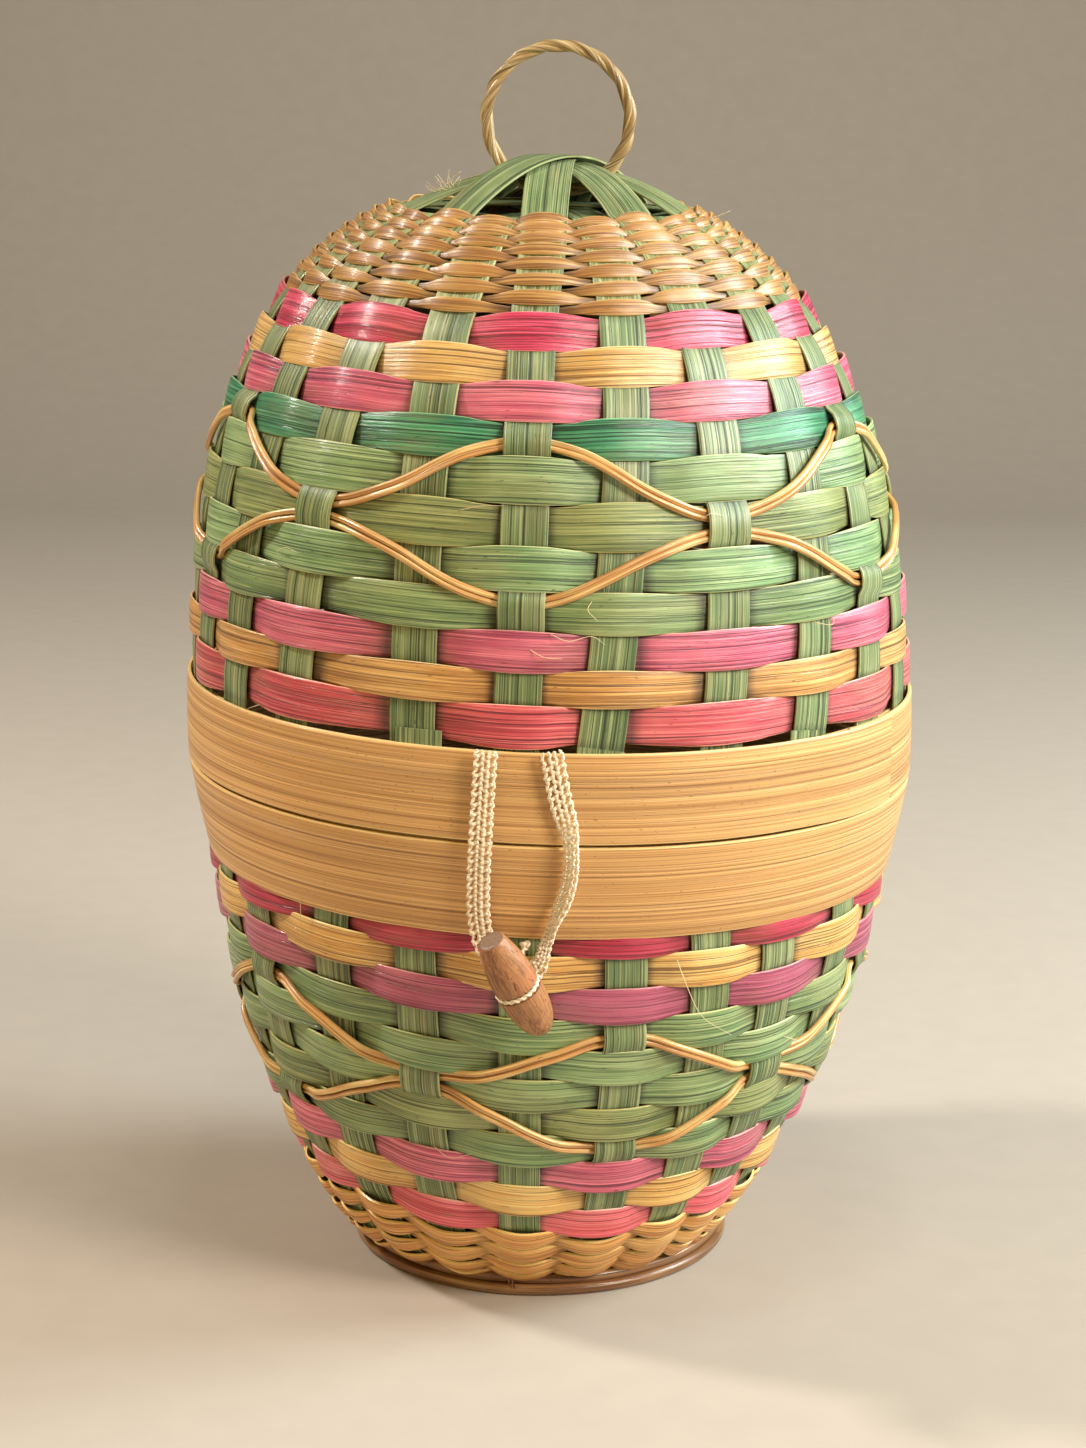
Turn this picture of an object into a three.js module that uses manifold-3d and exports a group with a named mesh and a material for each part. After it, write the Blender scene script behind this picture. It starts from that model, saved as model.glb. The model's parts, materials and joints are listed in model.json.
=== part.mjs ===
import * as THREE from "three";
import { mergeVertices } from "three/addons/utils/BufferGeometryUtils.js";
import Module from "manifold-3d";

const wasm = await Module();
wasm.setup();

// Driving dimensions of the splint weave, in millimetres.
const stripCount = 12;
const stakeWidth = 15.6;
const stakeTipWidth = 11.5;
const stakeThickness = 1;
const weaverThickness = 0.9;
const gap = 0.3;
const rowGap = 0.7;
const weaveTurnDeg = -3.75;

// The egg: its widest level, the seam between the halves and the curve of each half.
const bodyRadius = 122.2;
const seamHeight = 175;
const seamGap = 0.8;
const lidWidestAboveSeam = 5;
const lidRise = 190;
const lidFullness = 2.5;
const crownTopRadius = 57;
const neckDraw = 6.4;
const baseFullness = 1.5;

// Bands, rows and the plain woven zones.
const bandThickness = 1.5;
const lidBandHeight = 28.8;
const baseBandHeight = 31.2;
const stakeTuck = 2;
const lidRowCount = 11;
const lidRowPitch = 12.6;
const baseRowCount = 11;
const baseRowPitch = 10.9;
const crownSteps = 2;
const footWeaveSteps = 2;
const crownWeaveThickness = 1.6;

// The crossings of the strips at the apex and under the floor.
const crossingFull = 33;
const crossingSteps = 3;
const upperCrossingSpreadDeg = 67;
const lowerCrossingDrop = 4.5;
const upperCrossingLift = 13.5;
const upperCrossingArch = 2.5;
const apexShift = 4;
const floorCrossingInset = 2;
const floorCrossingFull = 40;
const floorCrossingLift = 8;
const floorStarOverlap = 0.1;

// Round reeds laid over the weave in waves.
const reedDiameter = 2;
const reedPairWidth = 4.3;
const reedSteps = 48;
const reedWaves = 6;
const reedFlatEdgeRise = 0.7;
const lidReedAboveSeam = 98.5;
const lidReedUpperRise = 20.5;
const lidReedLowerDrop = 21.5;
const baseReedBelowSeam = 89;
const baseReedUpperRise = 17.5;
const baseReedLowerDrop = 18.5;
const reedPairSpacing = 5;

// Foot ring, ring handle, hinge ties, toggle and closure loop.
const footHeight = 6.6;
const footOuterRadius = 66.5;
const footRingWidth = 7;
const footOverhang = 5.5;
const footChamfer = 1.6;
const handleRadius = 23.8;
const handleRodDiameter = 5;
const handlePassClearance = 3.7;
const hingeClearance = 0.7;
const tieRadius = 10.7;
const tieCordDiameter = 2.4;
const tieHoleClearance = 0.5;
const toggleLength = 40;
const toggleDiameter = 14.6;
const toggleEndDiameter = 8.6;
const toggleTipFullness = 2.3;
const toggleProfileSteps = 5;
const toggleGrooveWidth = 3.6;
const toggleGrooveDepth = 1.8;
const toggleTiltDeg = 26;
const toggleLeanDeg = 20;
const toggleCentreX = -7.5;
const toggleCentreDrop = 12;
const toggleStandOff = 1.6;
const toggleCordDiameter = 2.4;
const toggleKnotDiameter = 4.4;
const toggleKnotX = -5.2;
const toggleKnotDrop = 2.6;
const strapWidth = 7.4;
const strapThickness = 2;
const strapClearance = 0.5;

// Places that follow from the sizes above.
const stakeCount = 2 * stripCount;
const pitch = (2 * Math.PI) / stakeCount;
const weaveTurn = THREE.MathUtils.degToRad(weaveTurnDeg);
const upperSpread = THREE.MathUtils.degToRad(upperCrossingSpreadDeg);
const weaveRise = (stakeThickness + weaverThickness) / 2 + gap;
const weaveReach = weaveRise + weaverThickness / 2;
const bandInset = stakeThickness / 2 + gap;
const layerPitch = stakeThickness + gap;
const lidSeam = seamHeight + seamGap / 2;
const lidWidestHeight = seamHeight + lidWidestAboveSeam;
const baseSeam = seamHeight - seamGap / 2;
const neckHeight = seamHeight - baseBandHeight;
const neckRadius = bodyRadius - neckDraw;
const crossingStart = crownTopRadius;
const floorRadius = footOuterRadius - footOverhang;
const floorCrossingStart = floorRadius - floorCrossingInset;
const footInnerRadius = footOuterRadius - footRingWidth;
const floorLevel = footHeight + gap + stakeThickness / 2;
const bandReach = bandInset + bandThickness;
const bandCornerRadius = (bodyRadius + bandReach) / Math.cos(pitch / 2);

// Colours of the dyed splints, the natural fibres and the wood.
const colours = {
  band: 0xc9a06c,
  tan: 0xc59a64,
  green: 0x3f8f3c,
  leaf: 0x6fae3a,
  olive: 0x6f9434,
  teal: 0x1f8f7a,
  crimson: 0xb0203a,
  yellow: 0xe0b62c,
  pink: 0xcf5a86,
  ochre: 0xcf9b2b,
  coral: 0xd4574f,
  reed: 0xe0c391,
  rattan: 0xc08a45,
  cord: 0xe9dfc9,
  wood: 0x6b3d22,
};

const lidRowColours = [
  "coral", "ochre", "pink", "green", "green", "olive", "leaf", "teal", "pink", "yellow", "crimson",
];
const baseRowColours = [
  "crimson", "yellow", "pink", "green", "leaf", "green", "olive", "green", "pink", "yellow", "coral",
];

// The lid's curve at the middle of the stakes, from the seam up to the top of the crown weave.
class LidCurve extends THREE.Curve {
  getPoint(t, target = new THREE.Vector2()) {
    const share = Math.pow(crownTopRadius / bodyRadius, lidFullness);
    const topHeight = lidWidestHeight + lidRise * Math.pow(1 - share, 1 / lidFullness);
    const z = lidSeam + t * (topHeight - lidSeam);
    return target.set(lidRadiusAt(z), z);
  }
}

// The base's curve, from the seam down the slanting band and round to the floor.
class BaseCurve extends THREE.Curve {
  getPoint(t, target = new THREE.Vector2()) {
    const z = baseSeam + t * (floorLevel - baseSeam);
    return target.set(baseRadiusAt(z), z);
  }
}

function lidRadiusAt(z) {
  const rise = Math.max(0, z - lidWidestHeight) / lidRise;
  return bodyRadius * Math.pow(1 - Math.pow(rise, lidFullness), 1 / lidFullness);
}

function baseRadiusAt(z) {
  if (z >= neckHeight) {
    const share = (z - neckHeight) / (seamHeight - neckHeight);
    return THREE.MathUtils.lerp(neckRadius, bodyRadius, share);
  }
  const depth = Math.min(1, Math.max(0, (neckHeight - z) / (neckHeight - floorLevel)));
  const share = Math.pow(1 - Math.pow(depth, baseFullness), 1 / baseFullness);
  return THREE.MathUtils.lerp(floorRadius, neckRadius, share);
}

function stationsAlong(curve, lengths) {
  const whole = curve.getLength();
  return lengths.map((length) => curve.getPointAt(Math.min(1, length / whole)));
}

function evenSteps(start, end, count) {
  return Array.from({ length: count }, (_, i) => start + ((i + 1) * (end - start)) / count);
}

// The outward normal of the stretch between two stations of a wall, in radius and height.
function wallNormal(from, to) {
  const along = to.clone().sub(from).normalize();
  return along.y >= 0 ? new THREE.Vector2(along.y, -along.x) : new THREE.Vector2(-along.y, along.x);
}

// A row of stations moved outward by a distance, with mitred corners.
function offsetStations(stations, distance) {
  return stations.map((station, i) => {
    const before = i > 0 ? wallNormal(stations[i - 1], station) : null;
    const after = i < stations.length - 1 ? wallNormal(station, stations[i + 1]) : null;
    const normal = (before ?? after).clone().add(after ?? before).normalize();
    const stretch = 1 / normal.dot(after ?? before);
    return station.clone().addScaledVector(normal, distance * stretch);
  });
}

// A closed solid over rings of corner points, turned right side out.
function solidOver(sections, closed) {
  const corners = sections[0].length;
  const positions = sections.flat().flatMap((p) => [p.x, p.y, p.z]);
  const index = [];
  const spans = closed ? sections.length : sections.length - 1;
  for (let i = 0; i < spans; i++) {
    const here = i * corners;
    const next = ((i + 1) % sections.length) * corners;
    for (let j = 0; j < corners; j++) {
      const k = (j + 1) % corners;
      index.push(here + j, here + k, next + k, here + j, next + k, next + j);
    }
  }
  if (!closed) {
    const last = (sections.length - 1) * corners;
    for (let j = 1; j < corners - 1; j++) {
      index.push(0, j + 1, j, last, last + j, last + j + 1);
    }
  }
  return outward(positions, index);
}

function outward(positions, index) {
  const point = (i) => new THREE.Vector3().fromArray(positions, 3 * i);
  let volume = 0;
  for (let i = 0; i < index.length; i += 3) {
    const [a, b, c] = [point(index[i]), point(index[i + 1]), point(index[i + 2])];
    volume += a.dot(b.cross(c)) / 6;
  }
  if (volume < 0) index.reverse();
  const geometry = new THREE.BufferGeometry();
  geometry.setAttribute("position", new THREE.Float32BufferAttribute(positions, 3));
  geometry.setIndex(index);
  return geometry;
}

function manifoldOf(geometry) {
  const bare = geometry.clone();
  bare.deleteAttribute("normal");
  bare.deleteAttribute("uv");
  const merged = mergeVertices(bare, 1e-4);
  const mesh = new wasm.Mesh({
    numProp: 3,
    vertProperties: new Float32Array(merged.getAttribute("position").array),
    triVerts: new Uint32Array(merged.index.array),
  });
  return new wasm.Manifold(mesh);
}

function geometryOf(manifold) {
  const mesh = manifold.getMesh();
  const geometry = new THREE.BufferGeometry();
  geometry.setAttribute("position", new THREE.Float32BufferAttribute(mesh.vertProperties, 3));
  geometry.setIndex([...mesh.triVerts]);
  return geometry;
}

function node(name, geometry, colour, roughness = 0.6) {
  geometry.computeVertexNormals();
  const material = new THREE.MeshStandardMaterial({
    color: colours[colour],
    roughness,
    metalness: 0,
    flatShading: true,
  });
  const mesh = new THREE.Mesh(geometry, material);
  mesh.name = name;
  return mesh;
}

// A point at a stake: out from the axis by a radius and sideways along the wall.
function stakePoint(stake, radius, sideways, z) {
  const azimuth = stake * pitch;
  return new THREE.Vector3(
    Math.sin(azimuth) * radius + Math.cos(azimuth) * sideways,
    -Math.cos(azimuth) * radius + Math.sin(azimuth) * sideways,
    z,
  );
}

// One woven row: flat over each stake's width, in front of every second stake and behind the others.
function wovenRow(lower, upper, overParity) {
  const along = upper.clone().sub(lower).normalize();
  const normal = wallNormal(lower, upper);
  const low = lower.clone().addScaledVector(along, rowGap / 2);
  const high = upper.clone().addScaledVector(along, -rowGap / 2);
  const sections = [];
  for (let edge = 0; edge < 2 * stakeCount; edge++) {
    const stake = Math.floor(edge / 2);
    const side = edge % 2 === 0 ? -1 : 1;
    const lift = stake % 2 === overParity ? weaveRise : -weaveRise;
    const outer = lift + weaverThickness / 2;
    const inner = lift - weaverThickness / 2;
    const corners = [[low, outer], [high, outer], [high, inner], [low, inner]];
    sections.push(corners.map(([at, reach]) => {
      const p = at.clone().addScaledVector(normal, reach);
      return stakePoint(stake, p.x, (side * stakeWidth) / 2, p.y);
    }));
  }
  return solidOver(sections, true);
}

// A shell of flat facets, one over each stake, between two reaches from the stakes' middle.
function facetedShell(stations, innerReach, outerReach) {
  const outer = offsetStations(stations, outerReach);
  const inner = offsetStations(stations, innerReach).reverse();
  const sections = [];
  for (let corner = 0; corner < stakeCount; corner++) {
    sections.push([...outer, ...inner].map((p) => {
      return stakePoint(corner + 0.5, p.x / Math.cos(pitch / 2), 0, p.y);
    }));
  }
  return solidOver(sections, true);
}

// A station drawn back from a row's edge towards another, by half the gap between rows.
function drawnBack(edge, towards) {
  return edge.clone().addScaledVector(towards.clone().sub(edge).normalize(), rowGap / 2);
}

// A flat strip along a path in a vertical plane through the axis: each step is [along, height, width].
function strip(stake, steps) {
  const path = steps.map(([s, z]) => new THREE.Vector2(s, z));
  const sections = path.map((p, i) => {
    const before = i > 0 ? p.clone().sub(path[i - 1]).normalize() : null;
    const after = i < path.length - 1 ? path[i + 1].clone().sub(p).normalize() : null;
    const along = (before ?? after).clone().add(after ?? before).normalize();
    const stretch = 1 / along.dot(after ?? before);
    const lift = new THREE.Vector2(-along.y, along.x).multiplyScalar((stakeThickness / 2) * stretch);
    const half = steps[i][2] / 2;
    const top = p.clone().add(lift);
    const bottom = p.clone().sub(lift);
    return [
      stakePoint(stake, top.x, -half, top.y),
      stakePoint(stake, top.x, half, top.y),
      stakePoint(stake, bottom.x, half, bottom.y),
      stakePoint(stake, bottom.x, -half, bottom.y),
    ];
  });
  return solidOver(sections, false);
}

function crossingShare(radius, start, full) {
  return THREE.MathUtils.smoothstep(start - radius, 0, start - full);
}

function widthAt(radius, crossingEdge) {
  const share = THREE.MathUtils.smoothstep(radius, crossingEdge, crossingEdge + 2 * stakeWidth);
  return THREE.MathUtils.lerp(stakeTipWidth, stakeWidth, share);
}

// The wall's stations, shared by the stakes, the rows, the bands and the plain woven zones.
const lidCurve = new LidCurve();
lidCurve.arcLengthDivisions = 600;
const lidWeaveEnd = lidBandHeight + lidRowCount * lidRowPitch;
const lidStations = stationsAlong(lidCurve, [
  0,
  lidBandHeight,
  ...evenSteps(lidBandHeight, lidWeaveEnd, lidRowCount),
  ...evenSteps(lidWeaveEnd, lidCurve.getLength(), crownSteps),
]);
const baseCurve = new BaseCurve();
baseCurve.arcLengthDivisions = 600;
const baseBandLength = Math.hypot(baseBandHeight - seamGap / 2, bodyRadius - neckRadius);
const baseWeaveEnd = baseBandLength + baseRowCount * baseRowPitch;
const baseStations = stationsAlong(baseCurve, [
  0,
  baseBandLength,
  ...evenSteps(baseBandLength, baseWeaveEnd, baseRowCount),
  ...evenSteps(baseWeaveEnd, baseCurve.getLength(), footWeaveSteps),
]);

// The half path of a stake up or down the wall, tucked between the two bands at its end.
function wallSteps(stations) {
  const along = stations[1].clone().sub(stations[0]).normalize();
  const tucked = stations[0].clone().addScaledVector(along, stakeTuck);
  return [tucked, ...stations.slice(1)];
}

// A strip of the lid: up one side, through its layer of the crossing and down the other side.
function lidStrip(stake, layer, isUpper) {
  const wall = wallSteps(lidStations);
  const top = wall[wall.length - 1];
  const offset = isUpper
    ? upperCrossingLift + layer * layerPitch
    : layer * layerPitch - lowerCrossingDrop;
  const half = wall.map((p) => [p.x, p.y, widthAt(p.x, crossingStart)]);
  for (const radius of evenSteps(crossingStart, crossingFull, crossingSteps)) {
    const share = crossingShare(radius, crossingStart, crossingFull);
    half.push([radius, top.y + share * offset, stakeTipWidth]);
  }
  const archAt = (s) => top.y + offset + upperCrossingArch * (1 - (s / crossingFull) ** 2);
  const arch = [crossingFull / 2, 0, -crossingFull / 2].map((s) => [s, archAt(s), stakeTipWidth]);
  const other = half.map(([s, z, width]) => [-s, z, width]).reverse();
  return shiftedAtApex(strip(stake, [...half, ...(isUpper ? arch : []), ...other]));
}

// The handmade crossing sits a little to the right of the axis.
function shiftedAtApex(geometry) {
  const position = geometry.getAttribute("position");
  for (let i = 0; i < position.count; i++) {
    const radius = Math.hypot(position.getX(i), position.getY(i));
    const share = crossingShare(radius, crossingStart, crossingFull);
    position.setX(i, position.getX(i) + share * apexShift);
  }
  return geometry;
}

// A strip of the base: down one side, across the floor in its layer and up the other side.
function baseStrip(stake, lift) {
  const wall = wallSteps(baseStations);
  const half = wall.map((p) => [p.x, p.y, widthAt(p.x, floorCrossingStart)]);
  for (const radius of evenSteps(floorCrossingStart, floorCrossingFull, crossingSteps)) {
    const share = crossingShare(radius, floorCrossingStart, floorCrossingFull);
    half.push([radius, floorLevel + share * lift, stakeTipWidth]);
  }
  const other = half.map(([s, z, width]) => [-s, z, width]).reverse();
  return strip(stake, [...half, ...other]);
}

// A pair of round reeds laid side by side, in a wave outside the rows.
function reedPair(radiusAt, middle, swing, turn) {
  const reach = weaveReach + reedFlatEdgeRise + gap + reedDiameter / 2;
  const heightAt = (azimuth) => middle + (swing * (1 + Math.cos(reedWaves * (azimuth - turn)))) / 2;
  const pointAt = (azimuth) => {
    const z = heightAt(azimuth);
    const slope = (radiusAt(z + 1) - radiusAt(z - 1)) / 2;
    const normal = new THREE.Vector2(1, -slope).normalize();
    const along = new THREE.Vector2(slope, 1).normalize();
    return { at: new THREE.Vector2(radiusAt(z), z), normal, along };
  };
  const sections = [];
  for (let i = 0; i < reedSteps; i++) {
    const azimuth = (2 * Math.PI * i) / reedSteps;
    const { at, normal, along } = pointAt(azimuth);
    const corners = [[1, 1], [-1, 1], [-1, -1], [1, -1]];
    sections.push(corners.map(([out, up]) => {
      const p = at.clone();
      p.addScaledVector(normal, reach + (out * reedDiameter) / 2);
      p.addScaledVector(along, (up * reedPairWidth) / 2);
      return new THREE.Vector3(Math.sin(azimuth) * p.x, -Math.cos(azimuth) * p.x, p.y);
    }));
  }
  return solidOver(sections, true);
}

// The hinge at the back: two cord rings through both halves' bands, between the stakes.
const hingeY = bandCornerRadius * Math.cos(pitch / 4) + hingeClearance;
const tieAzimuths = [-0.5, 0.5].map((step) => Math.PI + weaveTurn + step * pitch);

function tieRing(azimuth, cordRadius) {
  const ring = new THREE.TorusGeometry(tieRadius, cordRadius, 8, 20);
  ring.rotateY(Math.PI / 2);
  ring.translate(bodyRadius * Math.sin(azimuth), hingeY, seamHeight);
  return ring;
}

function withTieHoles(geometry) {
  let solid = manifoldOf(geometry.clone().rotateZ(weaveTurn));
  for (const azimuth of tieAzimuths) {
    solid = solid.subtract(manifoldOf(tieRing(azimuth, tieCordDiameter / 2 + tieHoleClearance)));
  }
  return geometryOf(solid).rotateZ(-weaveTurn);
}

// The bands: an outer and an inner one on each half, clamping the ends of the stakes.
function band(stations, innerReach, outerReach) {
  const ends = [stations[0], drawnBack(stations[1], stations[0])];
  return withTieHoles(facetedShell(ends, innerReach, outerReach));
}

// The woven rows of one half, from its band to its plain woven zone.
function weaveRows(prefix, stations, rowColours, firstOver) {
  return rowColours.map((colour, i) => {
    const ends = [stations[i + 1], stations[i + 2]].sort((a, b) => a.y - b.y);
    const number = String(i + 1).padStart(2, "0");
    return node(`${prefix}_row_${number}`, wovenRow(...ends, (i + firstOver) % 2), colour);
  });
}

// The stakes at which the through strips start: 0 at the front, then outwards to both sides.
function stripStakes() {
  const stakes = Array.from({ length: stripCount }, (_, i) => i - Math.floor((stripCount - 1) / 2));
  return stakes.sort((a, b) => Math.abs(a) - Math.abs(b) || b - a);
}

function lidWeave() {
  const group = new THREE.Group();
  const stakes = stripStakes();
  const isUpper = (stake) => stake % 2 === 0 && Math.abs(stake) * pitch < upperSpread;
  const upperStakes = stakes.filter(isUpper);
  const lowerStakes = stakes.filter((stake) => !isUpper(stake)).reverse();
  lowerStakes.sort((a, b) => Math.abs(b % 2) - Math.abs(a % 2));
  upperStakes.forEach((stake, layer) => {
    group.add(node(`lid_top_strip_${layer + 1}`, lidStrip(stake, layer, true), "green"));
  });
  lowerStakes.forEach((stake, layer) => {
    group.add(node(`lid_under_strip_${layer + 1}`, lidStrip(stake, layer, false), "green"));
  });
  group.add(...weaveRows("lid", lidStations, lidRowColours, 0));
  const crown = lidStations.slice(-crownSteps - 1);
  crown[0] = drawnBack(crown[0], crown[1]);
  const crownShell = facetedShell(crown, bandInset, bandInset + crownWeaveThickness);
  group.add(node("lid_crown_weave", crownShell, "tan", 0.7));
  group.add(node("lid_band", band(lidStations, bandInset, bandReach), "band"));
  group.add(node("lid_inner_band", band(lidStations, -bandReach, -bandInset), "band"));
  const level = seamHeight + lidReedAboveSeam;
  const upperReed = reedPair(lidRadiusAt, level + reedPairSpacing / 2, lidReedUpperRise, 0);
  const lowerReed = reedPair(lidRadiusAt, level - reedPairSpacing / 2, -lidReedLowerDrop, 0);
  group.add(node("lid_reed_upper", upperReed, "reed"));
  group.add(node("lid_reed_lower", lowerReed, "reed"));
  group.rotation.z = weaveTurn;
  return group;
}

// Six strips joined where they cross under the floor, as one star.
function floorStar() {
  const starStakes = stripStakes().filter((stake) => stake % 2 !== 0);
  const starPitch = stakeThickness - floorStarOverlap;
  let star = null;
  starStakes.forEach((stake, layer) => {
    const arm = manifoldOf(baseStrip(stake, layer * starPitch));
    star = star ? star.add(arm) : arm;
  });
  return geometryOf(star);
}

function footRing() {
  const profile = [
    [footInnerRadius + footChamfer, 0],
    [footOuterRadius - footChamfer, 0],
    [footOuterRadius, footChamfer],
    [footOuterRadius, footHeight - footChamfer],
    [footOuterRadius - footChamfer, footHeight],
    [footInnerRadius + footChamfer, footHeight],
    [footInnerRadius, footHeight - footChamfer],
    [footInnerRadius, footChamfer],
  ];
  const sections = [];
  for (let corner = 0; corner < stakeCount; corner++) {
    sections.push(profile.map(([r, z]) => stakePoint(corner + 0.5, r, 0, z)));
  }
  return solidOver(sections, true);
}

function baseWeave() {
  const group = new THREE.Group();
  const ownStakes = stripStakes().filter((stake) => stake % 2 === 0);
  ownStakes.forEach((stake, layer) => {
    const lift = floorCrossingLift + layer * layerPitch;
    group.add(node(`base_strip_${layer + 1}`, baseStrip(stake, lift), "green"));
  });
  group.add(node("base_floor_star", floorStar(), "green"));
  group.add(...weaveRows("base", baseStations, baseRowColours, 1));
  const foot = baseStations.slice(-footWeaveSteps - 1);
  foot[0] = drawnBack(foot[0], foot[1]);
  foot[footWeaveSteps] = footWeaveEnd(foot[footWeaveSteps - 1], foot[footWeaveSteps]);
  const footShell = facetedShell(foot, bandInset, bandInset + crownWeaveThickness);
  group.add(node("base_foot_weave", footShell, "tan", 0.7));
  group.add(node("base_band", band(baseStations, bandInset, bandReach), "band"));
  group.add(node("base_inner_band", band(baseStations, -bandReach, -bandInset), "band"));
  const level = seamHeight - baseReedBelowSeam;
  const upperReed = reedPair(baseRadiusAt, level + reedPairSpacing / 2, baseReedUpperRise, pitch);
  const lowerReed = reedPair(baseRadiusAt, level - reedPairSpacing / 2, -baseReedLowerDrop, pitch);
  group.add(node("base_reed_upper", upperReed, "reed"));
  group.add(node("base_reed_lower", lowerReed, "reed"));
  group.add(node("foot_ring", footRing(), "rattan"));
  group.rotation.z = weaveTurn;
  return group;
}

// The foot weave stops above the foot ring, where its outer face would meet the ring's top.
function footWeaveEnd(from, to) {
  const lowest = footHeight + gap + bandInset + crownWeaveThickness;
  const share = Math.min(1, (from.y - lowest) / (from.y - to.y));
  return from.clone().lerp(to, share);
}

// The ring handle stands between the two sets of strips and swings on the line where it passes them.
const upperLayerZ = lidStations[lidStations.length - 1].y + upperCrossingLift;
const handleArcTop = upperLayerZ + upperCrossingArch - stakeThickness / 2 - handlePassClearance;
const handleCentreZ = handleArcTop - handleRodDiameter / 2 + handleRadius;
const passingLayer = 3.5;
const passingShare = 0.7;
const handlePivotZ = upperLayerZ + passingLayer * layerPitch + passingShare * upperCrossingArch;

function handleRing() {
  const ring = new THREE.TorusGeometry(handleRadius, handleRodDiameter / 2, 8, 32);
  ring.rotateX(Math.PI / 2);
  const mesh = node("handle_ring", ring, "rattan");
  mesh.position.set(apexShift, 0, handleCentreZ - handlePivotZ);
  const group = new THREE.Group();
  group.add(mesh);
  group.position.z = handlePivotZ;
  group.rotation.z = weaveTurn;
  return group;
}

// The front closure: a toggle on a short cord, and the strap that loops round behind it.
function wallReachAt(z) {
  const radius = z > neckHeight ? (z < seamHeight ? baseRadiusAt(z) : bodyRadius) : baseRadiusAt(z);
  const reach = z > neckHeight - toggleKnotDrop ? bandReach : weaveReach;
  return (radius + reach) / Math.cos(pitch / 2);
}

const toggleTilt = THREE.MathUtils.degToRad(toggleTiltDeg);
const toggleLean = THREE.MathUtils.degToRad(toggleLeanDeg);
const toggleTurn = new THREE.Euler(toggleLean, -toggleTilt, 0, "YXZ");
const toggleCentreHeight = neckHeight - toggleCentreDrop;
const toggleRise = (toggleLength / 2) * Math.cos(toggleTilt) * Math.cos(toggleLean);
const toggleTopZ = toggleCentreHeight + toggleRise;
const toggleBackReach = wallReachAt(toggleTopZ) + strapClearance + strapThickness + toggleStandOff;
const toggleCentreY = -(toggleBackReach + toggleDiameter / 2);

function toggle() {
  const half = toggleLength / 2;
  const radius = toggleDiameter / 2;
  const groove = radius - toggleGrooveDepth;
  const grooveEdge = toggleGrooveWidth / 2;
  const grooveFloor = grooveEdge - toggleGrooveDepth / 2;
  const tipAt = (share) => {
    const fullness = Math.pow(1 - Math.pow(share, toggleTipFullness), 1 / toggleTipFullness);
    return [radius * fullness, -grooveEdge - share * (half - grooveEdge)];
  };
  const endAt = (share) => {
    const narrowing = (radius - toggleEndDiameter / 2) * share ** 2;
    return [radius - narrowing, grooveEdge + share * (half - grooveEdge)];
  };
  const tipSide = evenSteps(1, 0, toggleProfileSteps).map((share) => tipAt(Math.sin((share * Math.PI) / 2)));
  const endSide = evenSteps(0, 1, toggleProfileSteps - 2).map(endAt);
  const profile = [
    [0, -half],
    ...tipSide,
    [groove, -grooveFloor],
    [groove, grooveFloor],
    [radius, grooveEdge],
    ...endSide,
    [0, half],
  ].map(([r, z]) => new THREE.Vector2(r, z));
  return new THREE.LatheGeometry(profile, 16);
}

const toggleBandRadius = toggleDiameter / 2 - toggleGrooveDepth + gap + toggleCordDiameter / 2;

function toggleGroup() {
  const band = new THREE.TorusGeometry(toggleBandRadius, toggleCordDiameter / 2, 6, 20);
  const group = new THREE.Group();
  group.add(node("toggle", toggle().rotateX(Math.PI / 2), "wood", 0.45));
  group.add(node("toggle_band", band, "cord", 0.9));
  group.rotation.copy(toggleTurn);
  group.position.set(toggleCentreX, toggleCentreY, toggleCentreHeight);
  return group;
}

// The toggle's cord: a knot on the front stake under the band and a short tail to the back of the toggle.
function toggleCord() {
  const knotRadius = toggleKnotDiameter / 2;
  const knotZ = neckHeight - toggleKnotDrop;
  const knotY = -(baseRadiusAt(knotZ) + bandInset + knotRadius);
  const knot = new THREE.SphereGeometry(knotRadius, 10, 8);
  knot.translate(toggleKnotX, knotY, knotZ);
  const end = new THREE.Vector3(0, toggleBandRadius + toggleCordDiameter + gap, 0).applyEuler(toggleTurn);
  end.add(new THREE.Vector3(toggleCentreX, toggleCentreY, toggleCentreHeight));
  const start = new THREE.Vector3(toggleKnotX, knotY, knotZ);
  const bend = start.clone().lerp(end, 0.5);
  const path = new THREE.CatmullRomCurve3([start, bend, end]);
  const section = new THREE.Shape();
  section.absarc(0, 0, toggleCordDiameter / 2, 0, 2 * Math.PI);
  const tail = new THREE.ExtrudeGeometry(section, { extrudePath: path, steps: 6, curveSegments: 4 });
  return geometryOf(manifoldOf(knot).add(manifoldOf(tail)));
}

// The strap's route in front of the wall, left end first, as [x, z].
const strapRoute = [
  [-17.4, 205.5],
  [-18.1, 192],
  [-18.8, 176],
  [-19.2, 162],
  [-18.8, 149.5],
  [-16.4, 138.5],
  [-12, 130.8],
  [-6, 127.6],
  [-1, 131.8],
  [1.2, 140],
  [3.4, 149],
  [7.2, 159.5],
  [8.8, 169],
  [8.4, 179],
  [5.8, 191],
  [3.2, 205.5],
];
const strapSteps = 56;

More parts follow.
